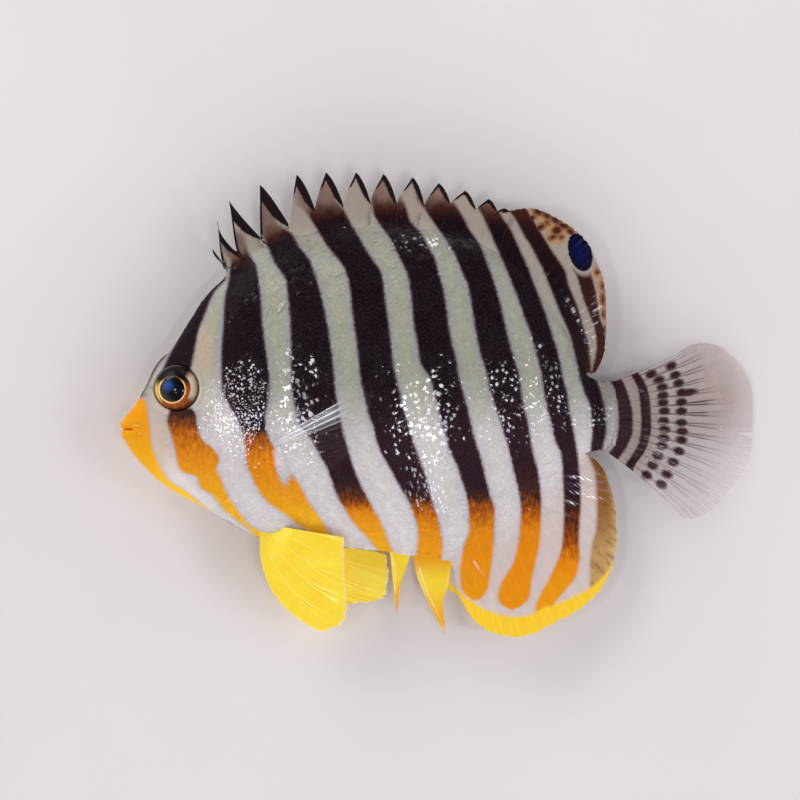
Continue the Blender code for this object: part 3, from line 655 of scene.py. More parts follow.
class Shader:
    """A short way to write a node tree."""

    def __init__(self, tree: bpy.types.NodeTree) -> None:
        """Takes the tree that nodes are added to."""
        self.tree = tree

    def feed(self, node: bpy.types.Node, inputs: dict) -> None:
        """Sets inputs of a node.

        Args:
            node: The node.
            inputs: A value or an output to link for each input, by name or number.
        """
        for name, value in inputs.items():
            source = value.socket if isinstance(value, Value) else value
            if isinstance(source, bpy.types.NodeSocket):
                self.tree.links.new(source, node.inputs[name])
            else:
                node.inputs[name].default_value = source

    def node(self, kind: str, inputs: dict | None = None, **settings: object) -> bpy.types.Node:
        """Adds a node.

        Args:
            kind: The node's type name.
            inputs: A value or an output to link for each input, by name or number.
            settings: The node's own settings.

        Returns:
            The new node.
        """
        made = self.tree.nodes.new(kind)
        for name, value in settings.items():
            setattr(made, name, value)
        self.feed(made, inputs or {})
        return made

    def take(self, kind: str, inputs: dict | None = None, output: str | int = 0, **settings: object) -> Value:
        """Adds a node and gives one of its outputs, by name or number."""
        return Value(self, self.node(kind, inputs, **settings).outputs[output])

    def given(self) -> dict[str, Value]:
        """The inputs of the group that is written."""
        return {socket.name: Value(self, socket) for socket in self.node("NodeGroupInput").outputs}

    def math(self, operation: str, *values: object, clamp: bool = False) -> Value:
        """The output of a Math node."""
        return self.take("ShaderNodeMath", dict(enumerate(values)), operation=operation, use_clamp=clamp)

    def most(self, first: Value, *others: Value) -> Value:
        """The greatest of some numbers."""
        for other in others:
            first = self.math("MAXIMUM", first, other)
        return first

    def step(self, value: Value, low: float, high: float) -> Value:
        """A smooth step of a value from 0 at low to 1 at high."""
        inputs = {"Value": value, "From Min": low, "From Max": high}
        return self.take("ShaderNodeMapRange", inputs, "Result", interpolation_type="SMOOTHSTEP")

    def mix(
        self, factor: Value | float, one: Value | Colour, other: Value | Colour, blend: str = "MIX"
    ) -> Value:
        """Two colours mixed by a factor."""
        one, other = ((*colour, 1) if isinstance(colour, tuple) else colour for colour in (one, other))
        inputs = {"Factor": factor, 6: one, 7: other}
        return self.take("ShaderNodeMix", inputs, 2, data_type="RGBA", blend_type=blend)

    def shade(self, colour: Value, tone: Value) -> Value:
        """A colour made lighter or darker by a tone."""
        grey = self.take("ShaderNodeCombineColor", {0: tone, 1: tone, 2: tone})
        return self.mix(1.0, colour, grey, "MULTIPLY")

    def ramp(self, value: Value, stops: Stops) -> Value:
        """A colour read from stops along a ramp."""
        made = self.node("ShaderNodeValToRGB", {"Fac": value})
        ramp = made.color_ramp
        while len(ramp.elements) < len(stops):
            ramp.elements.new(1.0)
        for element, (place, colour) in zip(ramp.elements, stops):
            element.position = place
            element.color = (*colour, 1)
        return Value(self, made.outputs["Color"])

    def noise(self, scale: float, detail: float = 2.0, vector: Value | None = None) -> Value:
        """Noise with features of a given count to the metre."""
        inputs = {"Vector": vector or self.place(), "Scale": scale, "Detail": detail}
        return self.take("ShaderNodeTexNoise", inputs, "Fac")

    def rough(self, scale: float, height: float, detail: float = 2.0, vector: Value | None = None) -> Value:
        """Noise about zero, of a given height."""
        return (self.noise(scale, detail, vector) - 0.5) * height

    def place(self, stretch: Colour | None = None) -> Value:
        """The place on the object, with each axis stretched if a stretch is given."""
        place = self.take("ShaderNodeTexCoord", output="Object")
        return self.take("ShaderNodeMapping", {"Vector": place, "Scale": stretch}) if stretch else place

    def split(self, vector: Value) -> list[Value]:
        """The parts of a vector."""
        return [Value(self, part) for part in self.node("ShaderNodeSeparateXYZ", {0: vector}).outputs]

    def length(self, x: Value, y: Value) -> Value:
        """The length of (x, y)."""
        return self.math("SQRT", x * x + y * y)

    def value(self, name: str) -> Value:
        """A number stored on the mesh."""
        return self.take("ShaderNodeAttribute", output="Fac", attribute_name=name)

    def relief(self, principled: bpy.types.Node, height: Value, strength: float = 1.0) -> None:
        """Feeds a Principled shader's normal from a height in millimetres."""
        inputs = {"Height": height, "Distance": MM, "Strength": strength}
        self.feed(principled, {"Normal": self.take("ShaderNodeBump", inputs, "Normal")})


def new_material(name: str, numbers: dict[str, float]) -> tuple[bpy.types.Material, Shader, bpy.types.Node]:
    """Starts a material.

    Args:
        name: The material's name.
        numbers: What the sockets of its Principled shader are set to.

    Returns:
        The material, a writer for its nodes and its Principled shader.
    """
    material = bpy.data.materials.new(name)
    material.use_nodes = True
    shader = Shader(material.node_tree)
    principled = material.node_tree.nodes["Principled BSDF"]
    shader.feed(principled, numbers)
    return material, shader, principled


def marking_group() -> bpy.types.NodeTree:
    """The group that colours skin, scales and barred fins from the values stored on the mesh."""
    tree = bpy.data.node_groups.new("Fish markings", "ShaderNodeTree")
    sockets = [("INPUT", name, FLOAT) for name in ("Bar", "Ripe", "Pale", "Warm", "Out", "Rough edge")]
    for way, title, kind in (*sockets, ("OUTPUT", "Color", "NodeSocketColor"), ("OUTPUT", "Dark", FLOAT)):
        tree.interface.new_socket(title, in_out=way, socket_type=kind)
    shader = Shader(tree)
    given = shader.given()
    bar, ripe, paleness = given["Bar"], given["Ripe"], given["Pale"]
    wobble = shader.rough(3200.0, 0.6) + shader.rough(900.0, 0.5)
    edge = bar + wobble * given["Rough edge"]
    dark = shader.step(edge, -0.24, 0.22)
    blotch = shader.rough(2000.0, 1.2, 3.0, shader.place((1.5, 0.55, 1.0)))
    turning = shader.step(ripe, 0.4, 1.4) * shader.step(ripe, 2.1, 1.6) * 0.9 + 0.12
    bands = shader.ramp(shader.math("DIVIDE", ripe + blotch * turning, 3.0, clamp=True), RIPE_COLOURS)
    unripe = shader.step(ripe, 1.0, 0.3)
    bands = shader.mix(paleness * unripe, bands, LOWER_BAR)
    bands = shader.mix(shader.step(edge, 0.42, 0.02) * 0.8 * unripe, bands, BAR_FRINGE)
    depth = bar * -1.0 / 2.0
    pale = shader.mix(paleness, shader.ramp(depth, UPPER_SKIN), shader.ramp(depth, LOWER_SKIN))
    pale = shader.mix(given["Warm"], pale, PEACH)
    beyond = shader.mix(paleness, *FIN_SKIN)
    pale = shader.mix(shader.step(given["Out"], 0.0, 0.3) * 0.75, pale, beyond)
    colour = shader.shade(shader.mix(dark, pale, bands), shader.noise(900.0, 4.0) * 0.16 + 0.9)
    shader.node("NodeGroupOutput", {"Color": colour, "Dark": dark})
    return tree


@dataclass(frozen=True)
class GlossFinish:
    """A wet, glossy finish.

    roughness and coat are the base's and the water film's. grain and ripple are the heights of the fine and
    the broad relief in millimetres, and their scales are counts to the metre.
    """

    name: str
    roughness: float = 0.42
    coat: float = 0.7
    coat_roughness: float = 0.07
    grain: float = 0.003
    grain_scale: float = 4200.0
    ripple: float = 0.008
    ripple_scale: float = 1500.0
    ripple_stretch: Colour = (1.4, 0.6, 1.0)
    soft: float = 0.12

    def start(self) -> tuple[bpy.types.Material, Shader, bpy.types.Node]:
        """Makes the material and sets the numbers that are the same all over.

        Returns:
            The material, a writer for its nodes and its Principled shader.
        """
        return new_material(self.name, {
            "Roughness": self.roughness, "Coat Weight": self.coat, "Coat Roughness": self.coat_roughness,
            "Coat IOR": 1.6, "Subsurface Weight": self.soft, "Subsurface Scale": 0.0008, "IOR": 1.4,
            "Specular IOR Level": 0.04,
        })

    def film(self, shader: Shader) -> Value:
        """The water film's weight, as stored on the mesh."""
        return shader.value("wet") * self.coat

    def texture(self, shader: Shader, principled: bpy.types.Node, height: Value | None = None) -> None:
        """Feeds the shader's normal from the fine and broad relief and a given height in millimetres."""
        total = shader.noise(self.grain_scale) * self.grain
        total += shader.noise(self.ripple_scale, 1.0, shader.place(self.ripple_stretch)) * self.ripple
        shader.relief(principled, total if height is None else total + height)


@dataclass(frozen=True)
class WetFinish(GlossFinish):
    """The finish of skin and scales, with the fish's markings.

    rough_edge is how ragged the bars' edges are, pool_scale how many pools of the film there are to the
    metre, and pool_share how much of the film is in them.
    """

    rough_edge: float = 0.25
    pool_scale: float = 330.0
    pool_share: float = 0.6

    def marked(self, shader: Shader, group: bpy.types.NodeTree) -> list[Value]:
        """Places the markings group, fed from the mesh.

        Args:
            shader: The writer for the material's nodes.
            group: The markings group.

        Returns:
            Its colour, and how much of that is a bar.
        """
        stored = {"Bar": "bar", "Ripe": "ripe", "Pale": "pale", "Warm": "warm", "Out": "share"}
        inputs = {title: shader.value(name) for title, name in stored.items()}
        inputs["Rough edge"] = self.rough_edge
        placed = shader.node("ShaderNodeGroup", inputs, node_tree=group)
        return [Value(shader, placed.outputs[name]) for name in ("Color", "Dark")]

    def build(self, group: bpy.types.NodeTree) -> bpy.types.Material:
        """The finished material of skin or scales."""
        material, shader, principled = self.start()
        colour, dark = self.marked(shader, group)
        local = shader.take("ShaderNodeAttribute", output="Vector", attribute_name="local")
        reach = shader.take("ShaderNodeVectorMath", {0: local}, "Value", operation="LENGTH")
        # Each scale is darker towards its rim; on the dark bars its rim gets painted sheen added instead
        rim = shader.step(reach, 0.55 * ScaleCoat.radius * MM, ScaleCoat.radius * MM)
        tone = shader.value("tone") * 0.1 + 0.97 - rim * 0.1
        colour = shader.mix(rim * rim * dark, shader.shade(colour, tone), SCALE_RIM_SHEEN, "ADD")
        pools = shader.step(shader.noise(self.pool_scale), 0.42, 0.56) * self.pool_share
        film = self.film(shader) * (pools + (1 - self.pool_share))
        shader.feed(principled, {"Base Color": colour, "Coat Weight": film})
        self.texture(shader, principled)
        return material


FILM_SLOPES = (13.0, 27.0)
THIN_FILM = 0.012
BACK_FILM: Patch = (0.5, (-1.5, 20.0), (6.5, 3.4))


def wetness(x: np.ndarray, y: np.ndarray, upright: np.ndarray) -> np.ndarray:
    """How much water film the skin holds: little where it is steep, but for a wet patch below the spines.

    Args:
        x: The points' x values.
        y: The points' y values.
        upright: The upright part of each point's normal.

    Returns:
        Shares of the full film.
    """
    steep = np.degrees(np.arccos(np.clip(np.abs(upright), 0, 1)))
    level = 1 - ease(steep, *FILM_SLOPES)
    return np.maximum(THIN_FILM + (1 - THIN_FILM) * level, patch_at(x, y, BACK_FILM))


def shading(x: np.ndarray, y: np.ndarray) -> np.ndarray:
    """How much darker the skin is along the back and at the tail stalk, in steps of a scale's tone."""
    back = bump_at(FISH.back(x) - y, 1.5, 1.9) * ease(x, -23.0, -18.0) * (1 - 0.6 * ease(x, 4.0, 10.0))
    low = ease(x, -5.0, 8.0) * ease(y, -4.0, -13.0)
    return 1.6 * back + 3.3 * ease(x, 18.6, 20.2) + 0.7 * low


def near_back(x: np.ndarray, y: np.ndarray) -> np.ndarray:
    """How near points are to the back behind the head, as the share that a fin's root would have."""
    return 0.17 * ease(FISH.back(x) - y, 4.2, 0.4) * ease(x, -23.0, -18.0)


@dataclass(frozen=True)
class Ridge:
    """A line that the skin rises to and drops behind.

    rise is its height, length how far before it the rise starts, and groove the depth of the furrow
    behind it.
    """

    path: Pairs
    rise: float
    length: float
    groove: float


@dataclass(frozen=True)
class Relief:
    """What stands out of the skin or sinks into it: eye sockets, lips, nostrils, cheek and gill edges.

    Places are (x, y), and rises, depths and widths are millimetres too. orbit is the socket's radius, and
    drop how far behind a ridge the skin is down again.
    """

    eye: tuple[float, float] = (-31.3, 2.0)
    orbit: float = 2.78
    socket_rim: float = 0.2
    socket_depth: float = 1.5
    lips: tuple[float, ...] = (-2.28, -3.56)
    lip_rise: float = 0.22
    lip_width: float = 0.42
    mouth_row: float = -2.9
    mouth_corner: float = -36.5
    slit_depth: float = 0.5
    slit_width: float = 0.13
    nostrils: Pairs = ((-34.6, 2.1), (-35.1, 1.2))
    nostril_rim: float = 0.12
    nostril_pit: float = 0.4
    gill: Ridge = Ridge((
        (-22.6, 8.4), (-21.5, 5.8), (-20.7, 4.0), (-20.1, 1.6), (-20.5, -0.8), (-21.4, -3.6),
        (-22.6, -6.6), (-23.9, -9.6), (-25.6, -12.0), (-27.6, -13.2),
    ), rise=0.125, length=1.8, groove=0.01)
    cheek: Ridge = Ridge((
        (-27.2, 6.0), (-26.3, 3.6), (-25.9, 0.5), (-26.0, -3.0), (-26.2, -5.6), (-26.8, -7.0),
        (-28.6, -8.2), (-31.2, -8.9), (-33.4, -8.4),
    ), rise=0.03, length=1.0, groove=0.02)
    drop: float = 0.36
    lateral: Pairs = (
        (-21.5, 8.6), (-18.0, 12.8), (-13.0, 15.6), (-6.0, 16.9), (1.0, 15.6), (7.5, 12.2),
        (12.5, 7.0), (15.5, 2.6),
    )
    lateral_rise: float = 0.05
    lateral_width: float = 0.18
    fin_base: tuple[float, float] = (-19.5, -6.3)
    fin_base_size: tuple[float, float] = (1.0, 2.4)
    fin_base_rise: float = 0.3

    def outwards(self, x: np.ndarray, y: np.ndarray) -> np.ndarray:
        """How far the skin stands out along its normal, in millimetres."""
        corner = self.mouth_corner
        lips = sum(bump_at(y, row, self.lip_width) for row in self.lips)
        out = self.lip_rise * lips * (1 - ease(x, corner - 0.1, corner + 0.9))
        slit = bump_at(y, self.mouth_row, self.slit_width) * (1 - ease(x, corner - 0.5, corner + 0.1))
        out -= self.slit_depth * slit
        for nx, ny in self.nostrils:
            gap = np.hypot(x - nx, y - ny)
            out += self.nostril_rim * bump_at(gap, 0.34, 0.14) - self.nostril_pit * bump_at(gap, 0.0, 0.2)
        for ridge in (self.gill, self.cheek):
            gap, share = nearest_on(ridge.path, x, y)
            fade = ease(share, 0.0, 0.12) * (1 - ease(share, 0.85, 1.0))
            ahead = np.where(gap < 0, bump_at(gap, 0, ridge.length), 1 - ease(gap, 0, self.drop))
            furrow = np.where(gap >= 0, bump_at(gap, 0.12, 0.3), 0)
            out += fade * (ridge.rise * ahead - ridge.groove * furrow)
        gap, _ = nearest_on(self.lateral, x, y)
        out += self.lateral_rise * bump_at(gap, 0, self.lateral_width)
        (fx, fy), (wide, tall) = self.fin_base, self.fin_base_size
        return out + self.fin_base_rise * np.exp(-(np.hypot((x - fx) / wide, (y - fy) / tall) ** 4))

    def sideways(self, x: np.ndarray, y: np.ndarray) -> np.ndarray:
        """How far the skin moves off the middle plane, for the eye sockets."""
        gap = np.hypot(x - self.eye[0], y - self.eye[1])
        rim = self.socket_rim * bump_at(gap, self.orbit + 0.16, 0.2)
        return rim - self.socket_depth * (1 - ease(gap, self.orbit - 0.22, self.orbit))


@dataclass
class Body:
    """The skin: one dense surface from snout to tail stalk, with the head's features in it."""

    relief: Relief = field(default_factory=Relief)
    around: int = 372
    head_rings: int = 165
    trunk_rings: int = 90
    sink: float = 0.12
    floor: float = 0.11
    stations: np.ndarray = field(init=False)
    points: np.ndarray = field(init=False)
    normals: np.ndarray = field(init=False)

    def __post_init__(self) -> None:
        """Works out the surface that skin and scales share."""
        tip = FISH.snout + np.array([0.0, 0.03, 0.08, 0.15, 0.24, 0.34])
        head = np.linspace(FISH.snout + 0.45, -18.5, self.head_rings)
        trunk = np.linspace(-18.5, FISH.end, self.trunk_rings)[1:]
        self.stations = np.concatenate([tip, head, trunk])
        base = FISH.rings(self.stations, self.around)
        self.normals = self.normals_of(base)
        x, y = base[..., 0], base[..., 1]
        out = self.relief.outwards(x, y) - self.sink * ease(x, -35.0, -31.0)
        side = np.sign(self.normals[..., 2])
        moved = base + self.normals * out[..., None]
        moved[..., 2] += side * self.relief.sideways(x, y) * ease(np.abs(self.normals[..., 2]), 0.1, 0.4)
        moved[..., 2] = np.maximum(moved[..., 2], self.floor)
        self.points = moved
        self.normals = self.normals_of(moved)

    @staticmethod
    def normals_of(grid: np.ndarray) -> np.ndarray:
        """Outward normals of a grid of rings."""
        around = np.roll(grid, -1, axis=1) - np.roll(grid, 1, axis=1)
        return unit(np.cross(around, np.gradient(grid, axis=0)))

    def build(self, finish: bpy.types.Material) -> bpy.types.Object:
        """Makes the skin.

        Args:
            finish: The skin's material.

        Returns:
            The skin, in place of the head, the trunk and the tail stalk.
        """
        rings, around = self.points.shape[:2]
        number = np.arange(rings * around).reshape(rings, around)
        nxt = np.roll(number, -1, axis=1)
        quads = np.stack([number[:-1], nxt[:-1], nxt[1:], number[1:]], axis=2).reshape(-1, 4)
        ends = [self.points[0].mean(axis=0), self.points[-1].mean(axis=0)]
        ends[0][0] -= 0.05
        points = np.vstack([self.points.reshape(-1, 3), ends])
        tip, stalk = np.full(around, number.size), np.full(around, number.size + 1)
        nose = np.stack([tip, nxt[0], number[0]], axis=1)
        rear = np.stack([stalk, number[-1], nxt[-1]], axis=1)
        piece = mesh_piece("skin", points, [quads, nose, rear])
        x, y, _ = points.T
        upright = np.append(self.normals[..., 2].ravel(), (0, 0))
        muzzle = 1.6 * (1 - ease(x, -35.2, -32.4))
        set_values(piece, read_patterns((Markings(), Markings(TAIL_BARS)), x, y) | {
            "tone": 0.5 - muzzle - shading(x, y), "share": near_back(x, y), "wet": wetness(x, y, upright),
        })
        piece.data.materials.append(finish)
        return piece


@dataclass
class ScaleCoat:
    """Small overlapping scales, each one tilted up at its rear edge, on any roots.

    radius, rise and tilt are a full-size scale's. Their spreads are how far one scale differs from the next,
    and roll_share is how much of its turn a scale also rolls. own_share is how much of its colour a scale
    takes from its root, and the rest follows the pattern across it. lowest is the least height that a point
    may have, and patch the size of a scale's place on the unwrapped skin.
    """

    radius: float = 0.5
    rise: float = 0.03
    tilt: float = math.radians(2.8)
    tilt_spread: float = 0.06
    turn_spread: float = 0.3
    roll_share: float = 0.3
    size_spread: float = 0.12
    corners: int = 9
    own_share: float = 0.18
    lowest: float = 0.01
    patch: float = 0.0015

    def tree(self, finish: bpy.types.Material, seed: int) -> tuple[bpy.types.NodeTree, dict[str, object]]:
        """The Geometry Nodes tree that sets a scale on each root.

        Args:
            finish: The scales' material.
            seed: What the random leans and turns start from.

        Returns:
            The tree and the values of its inputs by name.
        """
        tree = bpy.data.node_groups.new("Scale rows", "GeometryNodeTree")
        sizes = {
            "Scale radius": self.radius * MM, "Scale rise": self.rise * MM, "Tilt": self.tilt,
            "Tilt spread": self.tilt_spread, "Turn spread": self.turn_spread, "Seed": seed,
        }
        sockets = [("Geometry", way, "NodeSocketGeometry") for way in ("INPUT", "OUTPUT")]
        sockets += [(name, "INPUT", "NodeSocketInt" if name == "Seed" else FLOAT) for name in sizes]
        for name, way, kind in sockets:
            tree.interface.new_socket(name, in_out=way, socket_type=kind)
        nodes = Shader(tree)
        given = nodes.given()
        cone = nodes.node("GeometryNodeMeshCone", {
            "Vertices": self.corners, "Radius Top": 0.0, "Radius Bottom": given["Scale radius"],
            "Depth": given["Scale rise"],
        }, fill_type="NGON").outputs
        side = {"Geometry": cone["Mesh"], "Selection": cone["Side"]}
        scale = nodes.take("GeometryNodeSetShadeSmooth", side)
        local = nodes.take("GeometryNodeInputPosition")
        low = nodes.math("LESS_THAN", nodes.split(local)[2], given["Scale rise"] * 0.25)
        for name, value, kind, domain in (
            ("sharp_edge", low, "BOOLEAN", "EDGE"), ("local", local, "FLOAT_VECTOR", "POINT"),
        ):
            inputs = {"Geometry": scale, "Name": name, "Value": value}
            scale = nodes.take("GeometryNodeStoreNamedAttribute", inputs, data_type=kind, domain=domain)
        up, back, size = (
            nodes.take("GeometryNodeInputNamedAttribute", {"Name": name}, "Attribute", data_type=kind)
            for name, kind in (("up", "FLOAT_VECTOR"), ("back", "FLOAT_VECTOR"), ("size", "FLOAT"))
        )
        facing = nodes.take(
            "FunctionNodeAxesToRotation", {"Primary Axis": up, "Secondary Axis": back},
            primary_axis="Z", secondary_axis="X",
        )
        lean, turn = (
            nodes.take("FunctionNodeRandomValue", {
                2: given[name] * -1.0, 3: given[name], "Seed": given["Seed"] + shift,
            }, 1, data_type="FLOAT")
            for name, shift in (("Tilt spread", 0.0), ("Turn spread", 10.0))
        )
        angles = {"X": turn * self.roll_share, "Y": lean - given["Tilt"], "Z": turn}
        turned = nodes.take("FunctionNodeRotateRotation", {
            "Rotation": facing, "Rotate By": nodes.take("ShaderNodeCombineXYZ", angles),
        }, rotation_space="LOCAL")
        placed = nodes.take("GeometryNodeInstanceOnPoints", {
            "Points": given["Geometry"], "Instance": scale, "Rotation": turned, "Scale": size,
        })
        real = nodes.take("GeometryNodeRealizeInstances", {"Geometry": placed})
        dressed = nodes.take("GeometryNodeSetMaterial", {"Geometry": real, "Material": finish})
        nodes.node("NodeGroupOutput", {"Geometry": dressed})
        return tree, sizes

    def build(
        self, name: str, roots: dict[str, np.ndarray], markers: Sequence[Markings], finish: bpy.types.Material
    ) -> bpy.types.Object:
        """Makes the scales on some roots as one plain mesh.

        Args:
            name: The piece's name.
            roots: Arrays root, up and back of (x, y, z), spot of (u, v), and size, share, film and shading of
                one number.
            markers: The patterns on it. Where two meet, the one whose band reaches further shows.
            finish: The scales' material.

        Returns:
            The coat.
        """
        count = len(roots["root"])
        seed = SEED + len(name)
        chance = np.random.default_rng(seed)
        coat = bpy.data.objects.new(name, bpy.data.meshes.new(name + "_roots"))
        coat.data.vertices.add(count)
        coat.data.vertices.foreach_set("co", (roots["root"] * MM).ravel())
        bpy.context.scene.collection.objects.link(coat)
        for title in ("up", "back"):
            layer = coat.data.attributes.new(title, "FLOAT_VECTOR", "POINT")
            layer.data.foreach_set("vector", roots[title].astype(np.float32).ravel())
        size = roots["size"] * chance.uniform(1 - self.size_spread, 1 + self.size_spread, count)
        x, y, _ = roots["root"].T
        set_values(coat, {
            "place_u": roots["spot"][:, 0], "place_v": roots["spot"][:, 1], "root_x": x, "root_y": y,
            "share": roots["share"], "wet": wetness(x, y, unit(roots["up"])[:, 2]) * roots["film"],
            "size": size, "tone": chance.uniform(0, 1, count) - roots["shading"],
        })
        tree, sizes = self.tree(finish, seed)
        layer = coat.modifiers.new("scales", "NODES")
        layer.node_group = tree
        for item in tree.interface.items_tree:
            if item.in_out == "INPUT" and item.name in sizes:
                layer[item.identifier] = sizes[item.name]
        graph = bpy.context.evaluated_depsgraph_get()
        mesh = bpy.data.meshes.new_from_object(coat.evaluated_get(graph))
        coat.modifiers.remove(layer)
        old = coat.data
        coat.data = mesh
        bpy.data.meshes.remove(old)
        self.dress(coat, markers)
        return coat

    def dress(self, coat: bpy.types.Object, markers: Sequence[Markings]) -> None:
        """Unwraps the scales, lifts what lies too low and stores the pattern.

        Args:
            coat: The scales. Each gets a small patch of the map at its root's place.
            markers: The patterns on them.
        """

        def read(data: bpy.types.bpy_prop_collection, key: str, width: int = 1) -> np.ndarray:
            """Numbers read from a mesh, one row a point."""
            numbers = np.zeros(len(coat.data.vertices) * width, np.float32)
            data.foreach_get(key, numbers)
            return numbers.reshape(-1, width)

        layers, vertices = coat.data.attributes, coat.data.vertices
        place, root = (
            np.hstack([read(layers[name].data, "value") for name in names])
            for names in (("place_u", "place_v"), ("root_x", "root_y"))
        )
        local = read(layers["local"].data, "vector", 3)
        set_uv(coat, "OFBake", place + local[:, :2] / (self.radius * MM) * self.patch)
        points = read(vertices, "co", 3)
        points[:, 2] = np.maximum(points[:, 2], self.lowest * MM)
        vertices.foreach_set("co", points.ravel())
        x, y = (self.own_share * root + (1 - self.own_share) * points[:, :2] / MM).T
        set_values(coat, read_patterns(markers, x, y))


@dataclass
class FlankScales:
    """Where the scales of one flank stand: rows along the fish, fine on the head and coarse behind it.

    pitch and spread are the spacing along and across the rows on the trunk, and head_share shrinks both
    on the head. jitter is how far a root may be off its row. gill_top and gill_end carry the gill line on
    to the outline, and muzzle is the edge of the bare snout.
    """

    body: Body
    side: Side
    pitch: float = 0.78
    spread: float = 0.66
    head_share: float = 0.56
    jitter: float = 0.08
    margin: float = 0.2
    front: float = -34.9
    rear: float = 20.5
    gill_top: Pairs = ((-26.5, 16.5), (-24.0, 12.0))
    gill_end: Pairs = ((-30.0, -14.5),)
    muzzle: Pairs = (
        (-36.0, 6.0), (-34.6, 2.6), (-34.2, -1.0), (-33.4, -5.0), (-31.0, -9.0), (-27.0, -13.0),
    )
    nostril_room: float = 0.75

    def column(self, x: float, offset: float, spread: float) -> dict[str, np.ndarray]:
        """One column of scale roots.

        Args:
            x: Where the column is.
            offset: How far its first root is from the middle of the flank.
            spread: The spacing down the column.

        Returns:
            The roots' positions, normals, rearward directions and places on the unwrapped skin.
        """
        left = self.side is Side.LEFT
        half = np.arange(self.body.around // 2 + 1)
        order = half if left else -half % self.body.around
        stations = self.body.stations
        i = int(np.clip(np.searchsorted(stations, x) - 1, 0, len(stations) - 2))
        t = (x - stations[i]) / (stations[i + 1] - stations[i])
        near, far = self.body.points[i, order], self.body.points[i + 1, order]
        ring, back = near * (1 - t) + far * t, far - near
        up = self.body.normals[i, order] * (1 - t) + self.body.normals[i + 1, order] * t
        reach = travelled(ring)
        reach -= reach[len(reach) // 2]
        first = math.ceil((reach[0] + self.margin - offset) / spread)
        last = math.floor((reach[-1] - self.margin - offset) / spread)
        chance = np.random.default_rng(int((x + 50) * 1000))
        at = offset + spread * np.arange(first, last + 1)
        at = at + chance.uniform(-self.jitter, self.jitter, len(at))
        lines = {"root": ring, "up": up, "back": back}
        found = {name: read_rows(at, reach, values) for name, values in lines.items()}
        shift = chance.uniform(-self.jitter, self.jitter, len(at))
        found["root"] += found["back"] * (shift / np.linalg.norm(found["back"], axis=1))[:, None]
        down = np.interp(at, reach, np.linspace(0, 1, len(reach)))
        across = down / 2 if left else 0.5 + down / 2
        lengthwise = np.full(len(at), (x - FISH.snout) / (FISH.end - FISH.snout))
        return found | {"spot": np.column_stack([lengthwise, across])}

    def lattice(self, share: float) -> dict[str, np.ndarray]:
        """Quincunx of scale roots over the whole flank, with the spacing shrunk by a share."""
        places = np.arange(self.front, self.rear, self.pitch * share / 2)
        spread = self.spread * share
        return stacked([self.column(x, 0.5 * spread * (i % 2), spread) for i, x in enumerate(places)])

    def roots(self) -> dict[str, np.ndarray]:
        """The roots that are used: fine ones before the gill line, coarse ones behind it."""
        relief = self.body.relief
        kept = []
        for share, on_head in ((self.head_share, True), (1.0, False)):
            found = self.lattice(share)
            x, y, _ = found["root"].T
            gill, _ = nearest_on([*self.gill_top, *relief.gill.path, *self.gill_end], x, y)
            eye_gap = np.hypot(x - relief.eye[0], y - relief.eye[1]) - relief.orbit
            bare = np.minimum(eye_gap, nearest_on(self.muzzle, x, y)[0])
            use = ((gill < 0.0) if on_head else (gill > 0.0)) & (bare > 0.4)
            for nostril in relief.nostrils:
                use &= np.hypot(x - nostril[0], y - nostril[1]) > self.nostril_room
            use &= np.hypot((x - relief.fin_base[0]) / 1.0, (y - relief.fin_base[1]) / 2.3) > 0.8
            found |= {
                "size": share * (0.45 + 0.55 * ease(bare, 0.4, 2.2)) * (1 - 0.2 * ease(x, 14.0, 21.0)),
                "share": near_back(x, y), "film": np.ones(len(x)), "shading": shading(x, y),
            }
            kept.append({name: values[use] for name, values in found.items()})
        return stacked(kept)


